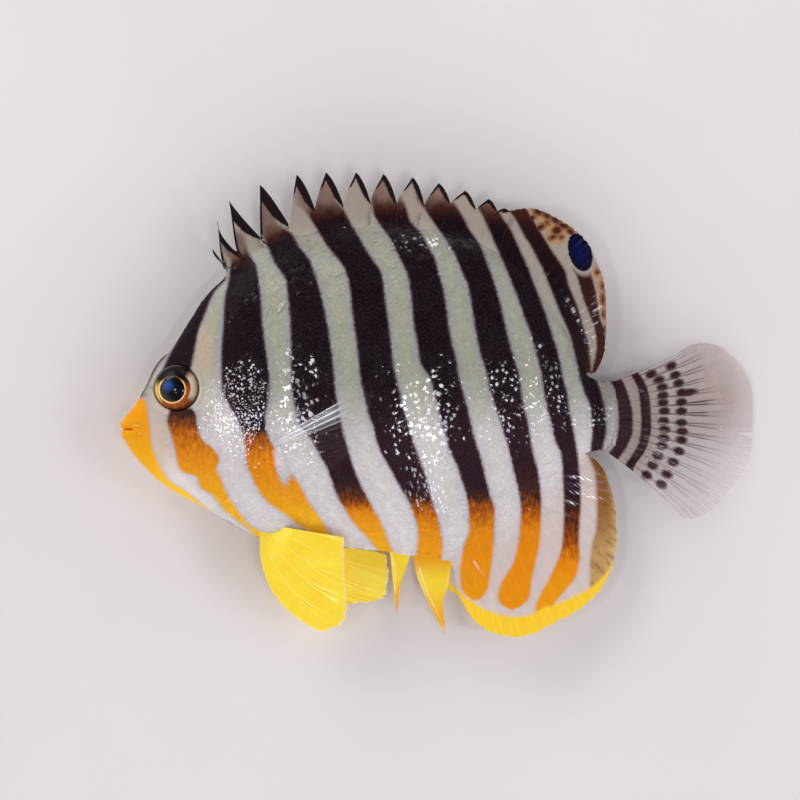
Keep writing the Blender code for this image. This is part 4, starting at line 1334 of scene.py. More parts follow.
@dataclass
class FinScales:
    """Where scales stand on the lower part of a fin: rows across its rays, on both of its faces.

    cover is how far out from the root they reach, and bare how far in from the root they start. None
    stands on the band that they are clear of. sunk is how far their roots are inside the fin.
    """

    cover: float = 4.0
    bare: float = 0.75
    pitch: float = 0.33
    spread: float = 0.5
    jitter: float = 0.06
    size: float = 0.75
    film: float = 0.45
    sunk: float = 0.03
    clear_of: Bar | None = None

    def on_face(self, surface: np.ndarray, upper: bool, seed: int) -> dict[str, np.ndarray]:
        """Roots on one face.

        Args:
            surface: Columns by rows of (x, y, z), rows from the root out.
            upper: Whether it is the upper face.
            seed: What the jitter starts from.

        Returns:
            The roots as in the flank's.
        """
        chance = np.random.default_rng(seed)
        out = np.gradient(surface, axis=1)
        normal = np.cross(np.gradient(surface, axis=0), out)
        normal = unit(normal * np.sign(normal[..., 2:3]) * (1 if upper else -1))
        reach = np.array([travelled(column) for column in surface])
        rows = []
        for k, distance in enumerate(np.arange(self.bare, self.cover, self.pitch)):
            lines = {
                name: np.vstack([read_rows(distance, reach[i], values[i]) for i in range(len(surface))])
                for name, values in (("root", surface), ("up", normal), ("back", out))
            }
            across = travelled(lines["root"])
            at = np.arange(0.12 + self.spread / 2 * (k % 2), across[-1] - 0.1, self.spread)
            at = at + chance.uniform(-self.jitter, self.jitter, len(at))
            level = np.ones(len(at))
            rows.append({name: read_rows(at, across, line) for name, line in lines.items()} | {
                "size": self.size * (1 - 0.5 * ease(level * distance, self.cover * 0.5, self.cover)),
                "share": np.interp(at, across, distance / reach[:, -1]),
                "film": level * self.film, "shading": level * 0,
            })
        found = stacked(rows)
        x, y, _ = found["root"].T
        if self.clear_of is not None:
            use = self.clear_of.reach(*to_plan(x, y)) < -0.5
            found, x, y = {name: values[use] for name, values in found.items()}, x[use], y[use]
        spot = np.column_stack([(x + 28.0) / 66.0 * 0.49 + (0.0 if upper else 0.5), (y + 28.0) / 56.0])
        return found | {"spot": spot}

    def roots(self, grids: Sequence[dict[str, np.ndarray]]) -> dict[str, np.ndarray]:
        """The roots on both faces of one or more sheets."""
        found = []
        for number, grid in enumerate(grids):
            for upper in (True, False):
                level = grid["height"] + (grid["half"] - self.sunk) * (1 if upper else -1)
                surface = np.dstack([grid["place"], level])
                found.append(self.on_face(surface, upper, SEED + 2 * number + upper))
        return stacked(found)


@dataclass
class Eye:
    """One eye: a flattened ball that looks outwards, with its iris drawn about the pupil."""

    side: Side
    at: tuple[float, float] = (-31.35, 2.05)
    radius: float = 2.74
    half_depth: float = 1.9
    off_middle: float = 2.45
    lean: tuple[float, float] = (-0.28, 0.06)
    pupil: tuple[float, float] = (-0.48, -0.2)
    rings: int = 56
    around: int = 96

    def build(self, finish: bpy.types.Material) -> bpy.types.Object:
        """Makes the eye, with its map in tenths of a millimetre from the pupil.

        Args:
            finish: The eye's material.

        Returns:
            The eye.
        """
        look = Vector((*self.lean, float(self.side.value))).normalized()
        turn = np.array(look.to_track_quat("Z", "Y").to_matrix())
        middle = np.array([*self.at, float(FISH.middle(self.at[0])) + self.side.value * self.off_middle])
        polar = np.linspace(0, math.pi, self.rings + 1)[1:-1, None]
        angle = np.linspace(0, 2 * math.pi, self.around, endpoint=False)[None, :]
        wide = np.sin(polar) * self.radius
        ball = np.stack([wide * np.cos(angle), wide * np.sin(angle),
                         np.cos(polar) * self.half_depth + 0 * angle], axis=2).reshape(-1, 3)
        ball = np.vstack([ball, [0, 0, self.half_depth], [0, 0, -self.half_depth]])
        points = middle + ball @ turn.T
        number = np.arange((self.rings - 1) * self.around).reshape(-1, self.around)
        nxt = np.roll(number, -1, axis=1)
        quads = np.stack([number[:-1], number[1:], nxt[1:], nxt[:-1]], axis=2).reshape(-1, 4)
        top, low = len(points) - 2, len(points) - 1
        caps = [
            np.stack([np.full(self.around, top), number[0], nxt[0]], axis=1),
            np.stack([np.full(self.around, low), nxt[-1], number[-1]], axis=1),
        ]
        piece = mesh_piece(f"eyeball_{self.side.title}", points, [quads, *caps])
        flat = (points - middle)[:, :2]
        set_uv(piece, "iris", (flat - np.array(self.pupil)) / 10 + 0.5)
        piece.data.materials.append(finish)
        return piece


@dataclass(frozen=True)
class EyeFinish:
    """The eye's finish: dark pupil, gold ring, and an iris that is dark above and warm below.

    off_pupil is how far the middle of the ball is from the pupil's.
    """

    name: str = "Bright eye"
    pupil_radius: float = 1.5
    ring_width: float = 0.17
    off_pupil: tuple[float, float] = (0.48, 0.2)
    edge_radius: float = 2.56

    def build(self) -> bpy.types.Material:
        """The finished material."""
        material, shader, principled = new_material(self.name, {
            "Roughness": 0.3, "Coat Weight": 1.0, "Coat Roughness": 0.02, "Coat IOR": 1.27,
            "Specular IOR Level": 0.05,
        })
        uv = shader.take("ShaderNodeUVMap", output="UV", uv_map="iris")
        x, y = ((part - 0.5) * 10.0 for part in shader.split(uv)[:2])
        radius = shader.length(x, y)
        streak_place = {0: shader.math("ARCTAN2", y, x) * 9.0, 1: radius}
        streaks = shader.noise(1.0, 3.0, shader.take("ShaderNodeCombineXYZ", streak_place))
        iris = shader.mix(shader.step(x, -0.9, -1.9), shader.ramp(streaks * 0.9, IRIS_STREAKS), IRIS_FRONT)
        iris = shader.mix(shader.step(y + streaks * 0.4, 0.2, 1.5), iris, IRIS_TOP)
        ball_x, ball_y = x - self.off_pupil[0], y - self.off_pupil[1]
        ball = shader.length(ball_x, ball_y)
        rim_angle = abs(shader.math("ARCTAN2", ball_y, ball_x) - 0.08)
        crescent = shader.step(rim_angle, 0.95, 0.45) * shader.step(ball, 1.62, 1.85)
        iris = shader.mix(crescent, iris, IRIS_CRESCENT)
        from_ring = abs(radius - (self.pupil_radius + self.ring_width / 2))
        ring = shader.step(from_ring, self.ring_width * 0.75, self.ring_width * 0.3)
        iris = shader.mix(ring, iris, shader.mix(shader.step(y, 1.35, 0.8), *IRIS_RING))
        # Painted reflection: the pupil turns blue towards a spot in its upper left
        glow = shader.length(x + 0.5, y - 0.45)
        inside = shader.step(radius, self.pupil_radius + 0.03, self.pupil_radius - 0.05)
        colour = shader.mix(inside, iris, shader.mix(shader.step(glow, 0.95, 0.1), *PUPIL_AND_PAINTED_REFLECTION))
        edge = shader.step(ball, self.edge_radius - 0.02, self.edge_radius + 0.1)
        colour = shader.mix(edge, colour, EYE_EDGE)
        shader.feed(principled, {"Base Color": colour, "Coat Weight": inside * 0.86 + 0.14})
        shader.relief(principled, streaks * 0.02, strength=0.5)
        return material


def sheet(place: np.ndarray, height: np.ndarray, half: np.ndarray) -> tuple[np.ndarray, list[np.ndarray]]:
    """A closed sheet from columns of points.

    Args:
        place: Columns by rows of (x, y).
        height: The height of the sheet's middle at each point.
        half: Half of its thickness there.

    Returns:
        Its points, first all upper ones and then all lower ones, and its faces.
    """
    wide, long = height.shape
    height = np.maximum(height, half + 0.03)
    upper = np.dstack([place, height + half]).reshape(-1, 3)
    lower = np.dstack([place, height - half]).reshape(-1, 3)
    number = np.arange(wide * long).reshape(wide, long)
    corners = number[:-1, :-1], number[1:, :-1], number[1:, 1:], number[:-1, 1:]
    quads = np.stack(corners, axis=2).reshape(-1, 4)
    border = np.concatenate([number[:, 0], number[-1, 1:], number[-2::-1, -1], number[0, -2:0:-1]])
    after = np.roll(border, -1)
    first, second = place[1:, :-1] - place[:-1, :-1], place[:-1, 1:] - place[:-1, :-1]
    turned = float(np.sum(first[..., 0] * second[..., 1] - first[..., 1] * second[..., 0])) < 0
    low = wide * long
    walls = np.stack([border, border + low, after + low, after], axis=1)
    faces = [quads, quads[:, ::-1] + low, walls]
    if turned:
        faces = [part[:, ::-1] for part in faces]
    return np.vstack([upper, lower]), faces


def sheet_piece(name: str, grids: Sequence[dict[str, np.ndarray]]) -> bpy.types.Object:
    """One piece of closed sheets.

    Args:
        name: The piece's name.
        grids: The place, height and half of each sheet.

    Returns:
        The piece.
    """
    points, faces, start = [], [], 0
    for grid in grids:
        found, parts = sheet(grid["place"], grid["height"], grid["half"])
        points.append(found)
        faces += [part + start for part in parts]
        start += len(found)
    return mesh_piece(name, np.vstack(points), faces, (True, True, False) * len(grids))


def on_faces(grids: Sequence[dict[str, np.ndarray]], names: Sequence[str]) -> dict[str, np.ndarray]:
    """Named values of sheets, once for the upper face of each and once for the lower one."""
    return {name: np.concatenate([np.tile(np.ravel(grid[name]), 2) for grid in grids]) for name in names}


@dataclass
class RayedFin:
    """A soft fin: a fan of rays that split twice towards a ragged rim.

    bows is how far the first and last ray bend, cuts are (share along the rim, width, depth), and steps
    is the number of columns for each ray. root_extra is how much thicker the scaled root is, along
    root_share of the rays after an even root_level, and root_round makes it thinner towards the first and
    last ray. The web thins out from thin_from on, crowding sets its rows closer towards the root, and the
    rim's cuts and frays fade out over side_fade from the first and last ray.
    """

    name: str
    base: Pairs
    rim: Pairs
    heart: tuple[float, float]
    rays: int
    height: Callable[[np.ndarray, np.ndarray, np.ndarray], np.ndarray]
    web: float = 0.08
    ridge: float = 0.07
    rim_half: float = 0.045
    split: tuple[float, float] = (0.4, 0.72)
    spread: float = 0.25
    ray_width: float = 0.1
    scallop: float = 0.012
    fray: float = 0.004
    cuts: Sequence[tuple[float, float, float]] = ()
    bows: tuple[float, float] = (0.0, 0.0)
    steps: int = 12
    rows: int = 60
    root_extra: float = 1.0
    root_share: float = 0.5
    root_round: float = 0.0
    root_level: float = 0.0
    sunk: float = 0.9
    wave: float = 0.0
    thin_from: float = 0.6
    crowding: float = 0.92
    side_fade: float = 0.02

    def ray_at(self, phase: np.ndarray, share: np.ndarray) -> np.ndarray:
        """How much of a ray, from 0 to 1, there is at a place of the fan."""
        off = np.abs((phase + 0.5) % 1 - 0.5)
        first = self.spread * ease(share, self.split[0], 1.15)
        second = self.spread / 2 * ease(share, self.split[1], 1.25)
        return np.exp(-(((np.abs(off - first) - second) / self.ray_width) ** 2))

    def grid(self) -> dict[str, np.ndarray]:
        """The fan's points and what is known of each.

        Returns:
            place, height and half, with the values share, ray, upright, phase and edge.
        """
        count = (self.rays - 1) * self.steps + 1
        across = np.linspace(0, 1, count)
        phase = across * (self.rays - 1)
        base, tip = along(self.base, across), along(self.rim, across)
        root = base + unit(np.array(self.heart) - base) * self.sunk
        chance = np.random.default_rng(SEED + len(self.name))
        rough = np.convolve(chance.normal(0, 1, count + 8), np.hanning(9) / 4, mode="valid")[:count]
        cut = 1 - self.scallop * (1 - self.ray_at(phase, np.ones(count))) + self.fray * rough
        for share, width, depth in self.cuts:
            cut -= depth * np.exp(-(((across - share) / width) ** 2))
        fade = np.minimum(1, np.minimum(across, 1 - across) / self.side_fade)
        cut = 1 - (1 - cut) * fade
        tip = root + (tip - root) * np.minimum(cut, 1.0)[:, None]
        share = (np.linspace(0, 1, self.rows + 1) ** self.crowding)[None, :] + 0 * phase[:, None]
        run = tip - root
        side = np.column_stack([-run[:, 1], run[:, 0]])
        bow = self.bows[0] + (self.bows[1] - self.bows[0]) * across
        place = root[:, None] + run[:, None] * share[..., None]
        place = place + side[:, None] * (bow[:, None] * 4 * share * (1 - share))[..., None]
        ray = self.ray_at(phase[:, None] + 0 * share, share)
        thin = 1 - ease(share, self.thin_from, 1.0)
        half = self.rim_half + (self.web - self.rim_half) * thin + self.ridge * ray * (0.35 + 0.65 * thin)
        round_root = (1 - np.abs(2 * across - 1) ** 2.2) ** 0.62 * self.root_round + 1 - self.root_round
        thick = np.maximum(0, 1 - np.maximum(0, share - self.root_level) / self.root_share) ** 2
        half += self.root_extra * round_root[:, None] * thick
        height = self.height(place[..., 0], place[..., 1], share)
        height = height + self.wave * np.sin(phase[:, None] * 1.9) * ease(share, 0.3, 1.0)
        length = np.linalg.norm(run, axis=1)[:, None]
        surface = np.dstack([place, height + half])
        normal = np.cross(np.gradient(surface, axis=0), np.gradient(surface, axis=1))
        upright = np.abs(normal[..., 2]) / np.maximum(np.linalg.norm(normal, axis=2), 1e-9)
        return {
            "place": place, "height": height, "half": half, "share": share, "ray": ray, "upright": upright,
            "phase": phase[:, None] + 0 * share, "edge": (1 - share) * length,
        }

    def marks(self, x: np.ndarray, y: np.ndarray, grid: dict[str, np.ndarray]) -> dict[str, np.ndarray]:
        """Values for this fin's own markings. Plain fins have none."""
        return {}

    def build(self, finish: bpy.types.Material) -> bpy.types.Object:
        """Makes the fin.

        Args:
            finish: The fin's material.

        Returns:
            The fin, with its rays stored on its points.
        """
        grid = self.grid()
        piece = sheet_piece(self.name, [grid])
        x, y = grid["place"][..., 0], grid["place"][..., 1]
        values = {name: grid[name] for name in ("share", "ray", "edge")} | self.marks(x, y, grid)
        set_values(piece, on_faces([values], list(values)))
        places = np.column_stack([grid["phase"].ravel() / (self.rays - 1), grid["share"].ravel()])
        set_uv(piece, "rays", np.vstack([places, places]))
        piece.data.materials.append(finish)
        return piece


def blobs(x: np.ndarray, y: np.ndarray, spots: Sequence[Spot]) -> np.ndarray:
    """How far inside the nearest of some oval spots each point is, in millimetres.

    Args:
        x: The points' x values.
        y: The points' y values.
        spots: For each, its plan row and column, its half width and half height in steps, and its turn.

    Returns:
        The signed distances, positive inside.
    """
    best = np.full(x.shape, NO_MARK)
    for row, column, wide, tall, turn in spots:
        ((cx, cy),) = plan([(row, column)])
        dx, dy = (x - cx) / PLAN_STEP, (y - cy) / PLAN_STEP
        c, s = math.cos(math.radians(turn)), math.sin(math.radians(turn))
        u, v = (dx * c + dy * s) / wide, (dy * c - dx * s) / tall
        best = np.maximum(best, (1 - np.hypot(u, v)) * min(wide, tall) * PLAN_STEP)
    return best


def barred_values(shape: tuple[int, ...], values: dict[str, np.ndarray]) -> dict[str, np.ndarray]:
    """Completes the values that the barred fins' finish reads: no marking where none is given.

    Args:
        shape: The shape of each value.
        values: The given ones.

    Returns:
        All of them.
    """
    absent = {name: np.full(shape, NO_MARK) for name in ("spot", "wedge", "gold")}
    return absent | {"fade": np.ones(shape)} | values


@dataclass
class SoftDorsalFin(RayedFin):
    """The rear of the dorsal fin, with an eyespot and a spotted rim.

    spots and eyespot are plan rows and columns, half widths and heights in steps and turns in degrees.
    """

    spots: Sequence[Spot] = (
        (211.5, 538.5, 6.4, 4.8, -15), (215.5, 547, 7.0, 4.0, -30), (220, 556, 8.5, 4.2, -28),
        (230, 557, 6.6, 5.6, 20), (225.5, 564, 8.5, 4.4, -20), (231, 570.5, 6.0, 4.0, -40),
        (237, 553, 6.4, 3.6, 25), (222.5, 547.5, 4.6, 3.0, -50), (227, 541, 7.0, 4.0, 35),
        (218, 532, 6.0, 4.0, 30), (237, 561.5, 3.6, 3.0, 0), (272, 597.5, 3.4, 3.2, 0),
        (286, 603, 3.0, 5.6, 10), (299, 603, 3.4, 8.0, 5), (314, 604, 3.0, 5.4, 0),
        (330, 604.5, 2.8, 6.4, 0), (208, 519, 7.0, 2.2, 0),
    )
    eyespot: Spot = (252, 580.5, 11.5, 19.5, 17)

    def marks(self, x: np.ndarray, y: np.ndarray, grid: dict[str, np.ndarray]) -> dict[str, np.ndarray]:
        """Bars, eyespot and spots."""
        values = Markings((*BODY_BARS, DORSAL_BAND)).measure(x, y)
        spots, eyespot = blobs(x, y, self.spots), blobs(x, y, (self.eyespot,))
        band = np.minimum(values["bar"], -(eyespot + 0.34))
        near = spots > band
        bar = np.where(near, spots - 0.08, band)
        ripe = np.where(near, 1.3 - 0.45 * ease(spots, 0.0, 0.3), values["ripe"])
        rimward = 0.45 * ease(grid["edge"], 7.5, 2.0) + 0.3 * ease(grid["edge"], 2.4, 0.5)
        ripe = np.maximum(ripe, rimward)
        halo = ease(spots, -0.8, -0.05) * (1 - ease(spots, 0.12, 0.4)) * (1 - ease(eyespot, -0.5, -0.1))
        halo *= 1 - ease(band, -0.35, 0.0)
        return barred_values(x.shape, values | {
            "bar": bar, "ripe": np.where((halo > 0) & (bar < -0.05), 1.44, ripe), "spot": eyespot,
            "ochre": 0.75 * halo,
            "wet": (0.05 + 0.95 * ease(y, 14.0, 11.5)) * wetness(x, y, grid["upright"]),
        })


@dataclass
class AnalFin(RayedFin):
    """The soft part of the anal fin, with a yellow margin, an ochre band at its rear and small wet folds.

    margin and folds are (row, column) lines on the plan.
    """

    margin: Pairs = (
        (570, 436), (588, 455), (597, 465), (609, 483), (615, 500), (617.5, 513), (616, 529), (607, 546),
        (605, 556), (600, 568), (593, 582), (588, 592), (577, 604), (566, 612), (556, 618),
    )
    folds: Sequence[Pairs] = (
        ((461, 520), (459, 545), (461, 575)), ((468, 572), (471, 590), (475, 604)),
        ((474, 548), (477, 575), (484, 611)), ((481, 552), (485, 580), (492, 614)),
        ((488, 545), (493, 575), (501, 614)), ((497, 548), (503, 572), (509, 590)),
        ((506, 536), (513, 556), (519, 582)), ((501, 522), (512, 540), (522, 552)),
        ((541, 457), (556, 470), (584, 489)), ((574, 462), (588, 473), (606, 485)),
        ((553, 556), (558, 568), (561, 590)),
    )
    fold_width: float = 0.15
    gold_end: float = 620.0

    def marks(self, x: np.ndarray, y: np.ndarray, grid: dict[str, np.ndarray]) -> dict[str, np.ndarray]:
        """Bars, band, margin and folds."""
        values = Markings((*BODY_BARS, ANAL_BAND)).measure(x, y)
        row, column = to_plan(x, y)
        rear, front = ANAL_BAND.reach(row, column), Smooth(ANAL_BAND.front)(row)
        across = np.clip((column - front) / (Smooth(ANAL_BAND.rear)(row) - front), 0, 1)
        tan = 0.55 * ease(row, 480, 570) + 0.7 * ease(across, 0.35, 0.95)
        fold = np.zeros(x.shape)
        for line in self.folds:
            gap, share = nearest_on(plan(line), x, y)
            ends = ease(share, 0.0, 0.15) * (1 - ease(share, 0.8, 1.0))
            fold = np.maximum(fold, bump_at(gap, 0.0, self.fold_width) * ends)
        return barred_values(x.shape, values | {
            "ripe": np.where((rear > -0.5) & (column > front - 4), 1.35 + 0.24 * tan, values["ripe"]),
            "gold": np.where(column < self.gold_end, -nearest_on(plan(self.margin), x, y)[0], NO_MARK),
            "wet": 0.03 * wetness(x, y, grid["upright"]) + 0.97 * fold, "fold": fold,
            "ochre": ease(rear, -0.6, 0.25),
        })


@dataclass
class TailFin(RayedFin):
    """The tail fin, with two bars at its base and rows of dots on its rays.

    dot is a dot's half width and height in plan steps, fan the plan row and column that the dots point
    away from, and smudge a longer spot behind them.
    """

    dot: tuple[float, float] = (5.2, 3.7)
    fan: tuple[float, float] = (421.0, 545.0)
    smudge: Spot = (392.5, 689, 9.0, 3.4, 10)

    def marks(self, x: np.ndarray, y: np.ndarray, grid: dict[str, np.ndarray]) -> dict[str, np.ndarray]:
        """Bars, dots and the streaks behind them."""
        values = Markings(TAIL_BARS).measure(x, y)
        dots = [
            (row, column, *self.dot, math.degrees(math.atan2(self.fan[0] - row, column - self.fan[1])))
            for line in TAIL_DOTS for row, column in line
        ]
        chance = np.random.default_rng(SEED + 5).uniform(0.45, 1.0, self.rays + 1)
        strength = chance[np.round(grid["phase"]).astype(int)]
        middle = 0.35 + 0.65 * ease(y, -6.5, -3.0)
        reach = ease(x, 28.4, 29.6) * (1 - ease(x, 29.8 + 1.5 * strength, 33.2 + 1.8 * strength))
        haze = 0.2 + 0.9 * ease(y, -7.5, 0.5) * ease(x, 28.0, 31.0) * (1 - 0.5 * ease(x, 34.0, 37.5))
        return values | {
            "bar": values["bar"] + 0.13, "dot": blobs(x, y, (*dots, self.smudge)), "haze": haze,
            "streak": 0.85 * reach * strength * middle * np.minimum(1, grid["ray"] * 1.2),
            "firm": (1.2 - 0.85 * ease(grid["share"], 0.45, 0.9)) * (0.35 + 0.65 * middle),
            "wet": 0.1 + 0.9 * ease(x, 24.5, 27.0),
        }


@dataclass
class PectoralFin(RayedFin):
    """A pectoral fin: nearly invisible, with its few top rays wet and carrying painted glint streaks."""

    def marks(self, x: np.ndarray, y: np.ndarray, grid: dict[str, np.ndarray]) -> dict[str, np.ndarray]:
        """How firm each ray looks, and where the painted glint streaks are."""
        # Painted highlight: the top rays carry pale glint streaks, made more opaque and wetter there
        silver = (1 - ease(grid["phase"], 1.5, 4.5)) * (1 - ease(grid["share"], 0.6, 0.9))
        return {
            "firm": 0.045 + 1.6 * silver, "wet": 0.3 + 0.7 * silver, "haze": 0.2 + 6.0 * silver**2,
            "silver": silver,
        }


@dataclass
class SpinyDorsalFin:
    """The front of the dorsal fin: thirteen spines, each with a thorn-shaped web behind it.

    Each spine runs from its base past the notch of the web before it to its tip. swell is how far the
    web's rear edge bulges, wedge the width of the black edge, and line and line_growth that of the black
    line along the spine, which the first first_lines spines have from their root on. before and front_half
    shape the spine's front, and root_extra is how much thicker the root is, along root_share of the spine.
    """

    bases: Pairs = (
        (-25.1, 15.7), (-24.3, 16.7), (-22.6, 17.9), (-20.0, 19.3), (-16.6, 20.5), (-13.7, 21.2),
        (-10.9, 21.6), (-8.0, 21.8), (-5.1, 21.8), (-2.3, 21.6), (0.3, 21.2), (2.8, 20.7), (5.2, 19.8),
        (7.6, 18.7),
    )
    tips: Pairs = (
        (-27.1, 18.7), (-26.5, 22.1), (-25.1, 24.5), (-21.4, 26.4), (-17.0, 27.6), (-13.5, 27.9),
        (-9.9, 27.9), (-6.6, 27.7), (-3.1, 27.3), (0.0, 26.6), (3.2, 25.7), (6.0, 24.7), (7.9, 23.6),
    )
    notches: Pairs = (
        (-25.6, 16.7), (-23.5, 17.6), (-21.2, 19.9), (-17.8, 21.4), (-14.7, 23.2), (-11.3, 23.7),
        (-8.05, 24.05), (-4.9, 23.9), (-1.65, 23.85), (1.5, 24.1), (4.55, 23.4), (7.1, 23.2), (8.6, 23.2),
    )
    swell: Sequence[float] = (-0.3, -0.55, -0.12, 0.2, 0.28, 0.28, 0.28, 0.27, 0.27, 0.25, 0.22, 0.18, 0.05)
    wedge: Sequence[float] = (0.18, 0.5, 0.9, 1.0, 0.78, 0.62, 0.52, 0.5, 0.46, 0.42, 0.4, 0.36, 0.22)
    web: float = 0.08
    spine: float = 0.17
    sunk: float = 0.9
    rows: int = 44
    film: float = 0.4
    before: Sequence[float] = (0.98, 0.8, 0.45)
    front_half: tuple[float, float] = (0.03, 0.05)
    root_extra: float = 0.95
    root_share: float = 0.55
    line: float = 0.17
    line_growth: float = 0.37
    first_lines: int = 4
    tip_cap: float = 0.55
    wedge_shape: Sequence[Sequence[float]] = ((0, 0.3, 0.65, 0.85, 1.0), (0.95, 1.2, 1.15, 0.7, 0.1))
    heart: tuple[float, float] = (-2.0, -4.0)
    across: Sequence[float] = (
        0, 0.025, 0.05, 0.08, 0.115, 0.155, 0.2, 0.26, 0.33, 0.4, 0.48, 0.56, 0.64, 0.72, 0.8, 0.87, 0.93,
        0.97, 1.0,
    )

    def sunk_base(self, i: int) -> np.ndarray:
        """Where a spine's line starts, inside the back."""
        base = np.array(self.bases[i])
        return base + unit(np.array(self.heart) - base) * self.sunk

    def spine_line(self, i: int, shares: np.ndarray) -> np.ndarray:
        """Points along a spine at shares of its length."""
        through = [self.sunk_base(i)] + ([self.notches[i - 1]] if i else []) + [self.tips[i]]
        return along(through, shares)

    def notch_share(self, i: int) -> float:
        """How far up a spine the web in front of it joins."""
        below, notch, tip = self.sunk_base(i), np.array(self.notches[i - 1]), np.array(self.tips[i])
        lower = np.linalg.norm(notch - below)
        return float(lower / (lower + np.linalg.norm(tip - notch)))

    def segment(self, i: int) -> dict[str, np.ndarray]:
        """One spine and the web behind it."""
        share = np.linspace(0, 1, self.rows + 1)
        lead = self.spine_line(i, share)
        if i + 1 < len(self.tips):
            rear = self.spine_line(i + 1, share * self.notch_share(i + 1))
        else:
            start, end = self.sunk_base(i + 1), np.array(self.notches[i])
            rear = start + (end - start) * share[:, None]
        tip, notch = np.array(self.tips[i]), np.array(self.notches[i])
        run = notch - tip
        outward = unit(np.array([-run[1], run[0]]))
        outward *= np.sign(outward[0]) or 1.0
        u = np.array(self.across)
        swell = self.swell[i] * np.sin(math.pi * u**0.7)
        trailing = tip + run * u[:, None] + outward * swell[:, None]
        place = lead[None] * (1 - u[:, None, None]) + rear[None] * u[:, None, None]
        place += (trailing - place[:, -1])[:, None] * (share**3)[None, :, None]
        step = np.gradient(lead, axis=0)
        front = unit(np.column_stack([-step[:, 1], step[:, 0]]))
        free = self.notch_share(i) if i else 0.2
        taper = self.spine * (1 - 0.75 * share**1.5) * (0.3 + 0.7 * ease(share, free - 0.15, free + 0.1))
        before = [lead + front * (taper * part)[:, None] for part in self.before]
        place = np.concatenate([np.array(before), place])
        offs = np.linalg.norm(place - lead[None], axis=2)
        round_part = np.sqrt(np.maximum(0, 1 - (offs / taper[None]) ** 2)) * taper[None]
        half = np.maximum(self.web * (1 - 0.5 * share[None] ** 2), round_part)
        half[0] = self.front_half[0]
        half[1:3] = np.maximum(half[1:3], self.front_half[1])
        half += self.root_extra * np.maximum(0, 1 - share[None] / self.root_share) ** 2
        x, y = place[..., 0], place[..., 1]
        distance, down = nearest_on([tuple(point) for point in trailing], x, y)
        width = self.wedge[i] * np.interp(down, *self.wedge_shape)
        growing = self.line_growth * ease(share, 0.62, 0.85)[None] - self.line
        line = self.line if i < self.first_lines else growing
        wedge = np.maximum(width - np.abs(distance), line - np.minimum(offs, -NO_MARK))
        wedge = np.maximum(wedge, self.tip_cap - np.hypot(x - tip[0], y - tip[1]))
        below = np.interp(x, *zip(*self.notches)) - y
        return {
            "place": place, "height": FISH.middle(x), "half": half, "wedge": wedge,
            "edge": np.abs(distance), "share": share[None] + 0 * x, "fade": ease(below, -2.4, 1.3),
            "below": below, "ray": bump_at(offs, 0.0, 0.12), "x": x, "y": y,
        }

    def segments(self) -> list[dict[str, np.ndarray]]:
        """All the spines with their webs, from the head on."""
        return [self.segment(i) for i in range(len(self.tips))]

    def build(self, finish: bpy.types.Material) -> bpy.types.Object:
        """Makes the spiny fin.

        Args:
            finish: The fin's material.

        Returns:
            The fin, all its segments in one mesh.
        """
        parts = self.segments()
        piece = sheet_piece("spiny_dorsal_fin", parts)
        values = on_faces(parts, ("wedge", "edge", "share", "fade", "ray"))
        places = on_faces(parts, ("x", "y", "below"))
        found = Markings().measure(places["x"], places["y"])
        brown = 0.78 * (1 - ease(places["below"], 0.1, 2.4))
        set_values(piece, barred_values(brown.shape, found | values | {
            "bar": found["bar"] * (0.22 + 0.78 * values["fade"]), "wet": np.full(brown.shape, self.film),
            "ripe": np.maximum(0.35 * found["ripe"], brown), "ochre": np.zeros(brown.shape),
        }))
        piece.data.materials.append(finish)
        return piece


@dataclass
class AnalSpines:
    """The two free spines in front of the anal fin, with the webs behind them."""

    lines: Sequence[Pairs] = (
        ((-5.9, -16.9), (-5.65, -19.5), (-5.35, -22.5), (-5.05, -24.9)),
        ((-3.2, -17.3), (-2.7, -20.0), (-1.3, -23.6), (0.75, -27.4)),
    )
    edges: Sequence[Pairs] = (
        ((-3.0, -17.2), (-3.75, -19.2), (-4.55, -21.6), (-4.98, -24.9)),
        ((1.9, -17.2), (1.5, -19.6), (1.15, -21.8), (0.55, -23.6), (0.8, -27.4)),
    )
    orange_roots: Sequence[float] = (0.0, 0.9)
    half: float = 0.22
    web_half: float = 0.05
    rows: int = 48
    columns: int = 16
    rim: float = 3.0

    def build(self, finish: bpy.types.Material) -> bpy.types.Object:
        """Makes the spines with their webs.

        Args:
            finish: Their material.

        Returns:
            The spines, all in one mesh.
        """
        share = np.linspace(0, 1, self.rows + 1)
        across = (np.linspace(0, 1, self.columns + 1) ** 1.3)[:, None]
        grids = []
        for lead_points, edge_points, orange in zip(self.lines, self.edges, self.orange_roots):
            lead, edge = along(lead_points, share), along(edge_points, share)
            place = lead[None] * (1 - across[..., None]) + edge[None] * across[..., None]
            gap = np.linalg.norm(place - lead[None], axis=2)
            taper = self.half * (1 - 0.7 * share) * bump_at(gap, 0.0, 0.22)
            half = self.web_half + taper + 0.3 * np.maximum(0, 1 - share / 0.3) ** 2
            half[0] *= 0.45
            tip = 0.9 * ease(share + 0.12 * np.abs(2 * across - 1) ** 3, 0.3, 0.95)
            root = orange * (1 - ease(share, 0.1, 0.4))
            grids.append({
                "place": place, "height": FISH.middle(place[..., 0]) - 0.6 * share**2, "half": half,
                "ray": bump_at(gap, 0.0, 0.2), "tip": np.maximum(tip, root),
                "edge": np.full(gap.shape, self.rim),
            })
        piece = sheet_piece("anal_spines", grids)
        set_values(piece, on_faces(grids, ("ray", "tip", "edge")))
        piece.data.materials.append(finish)
        return piece


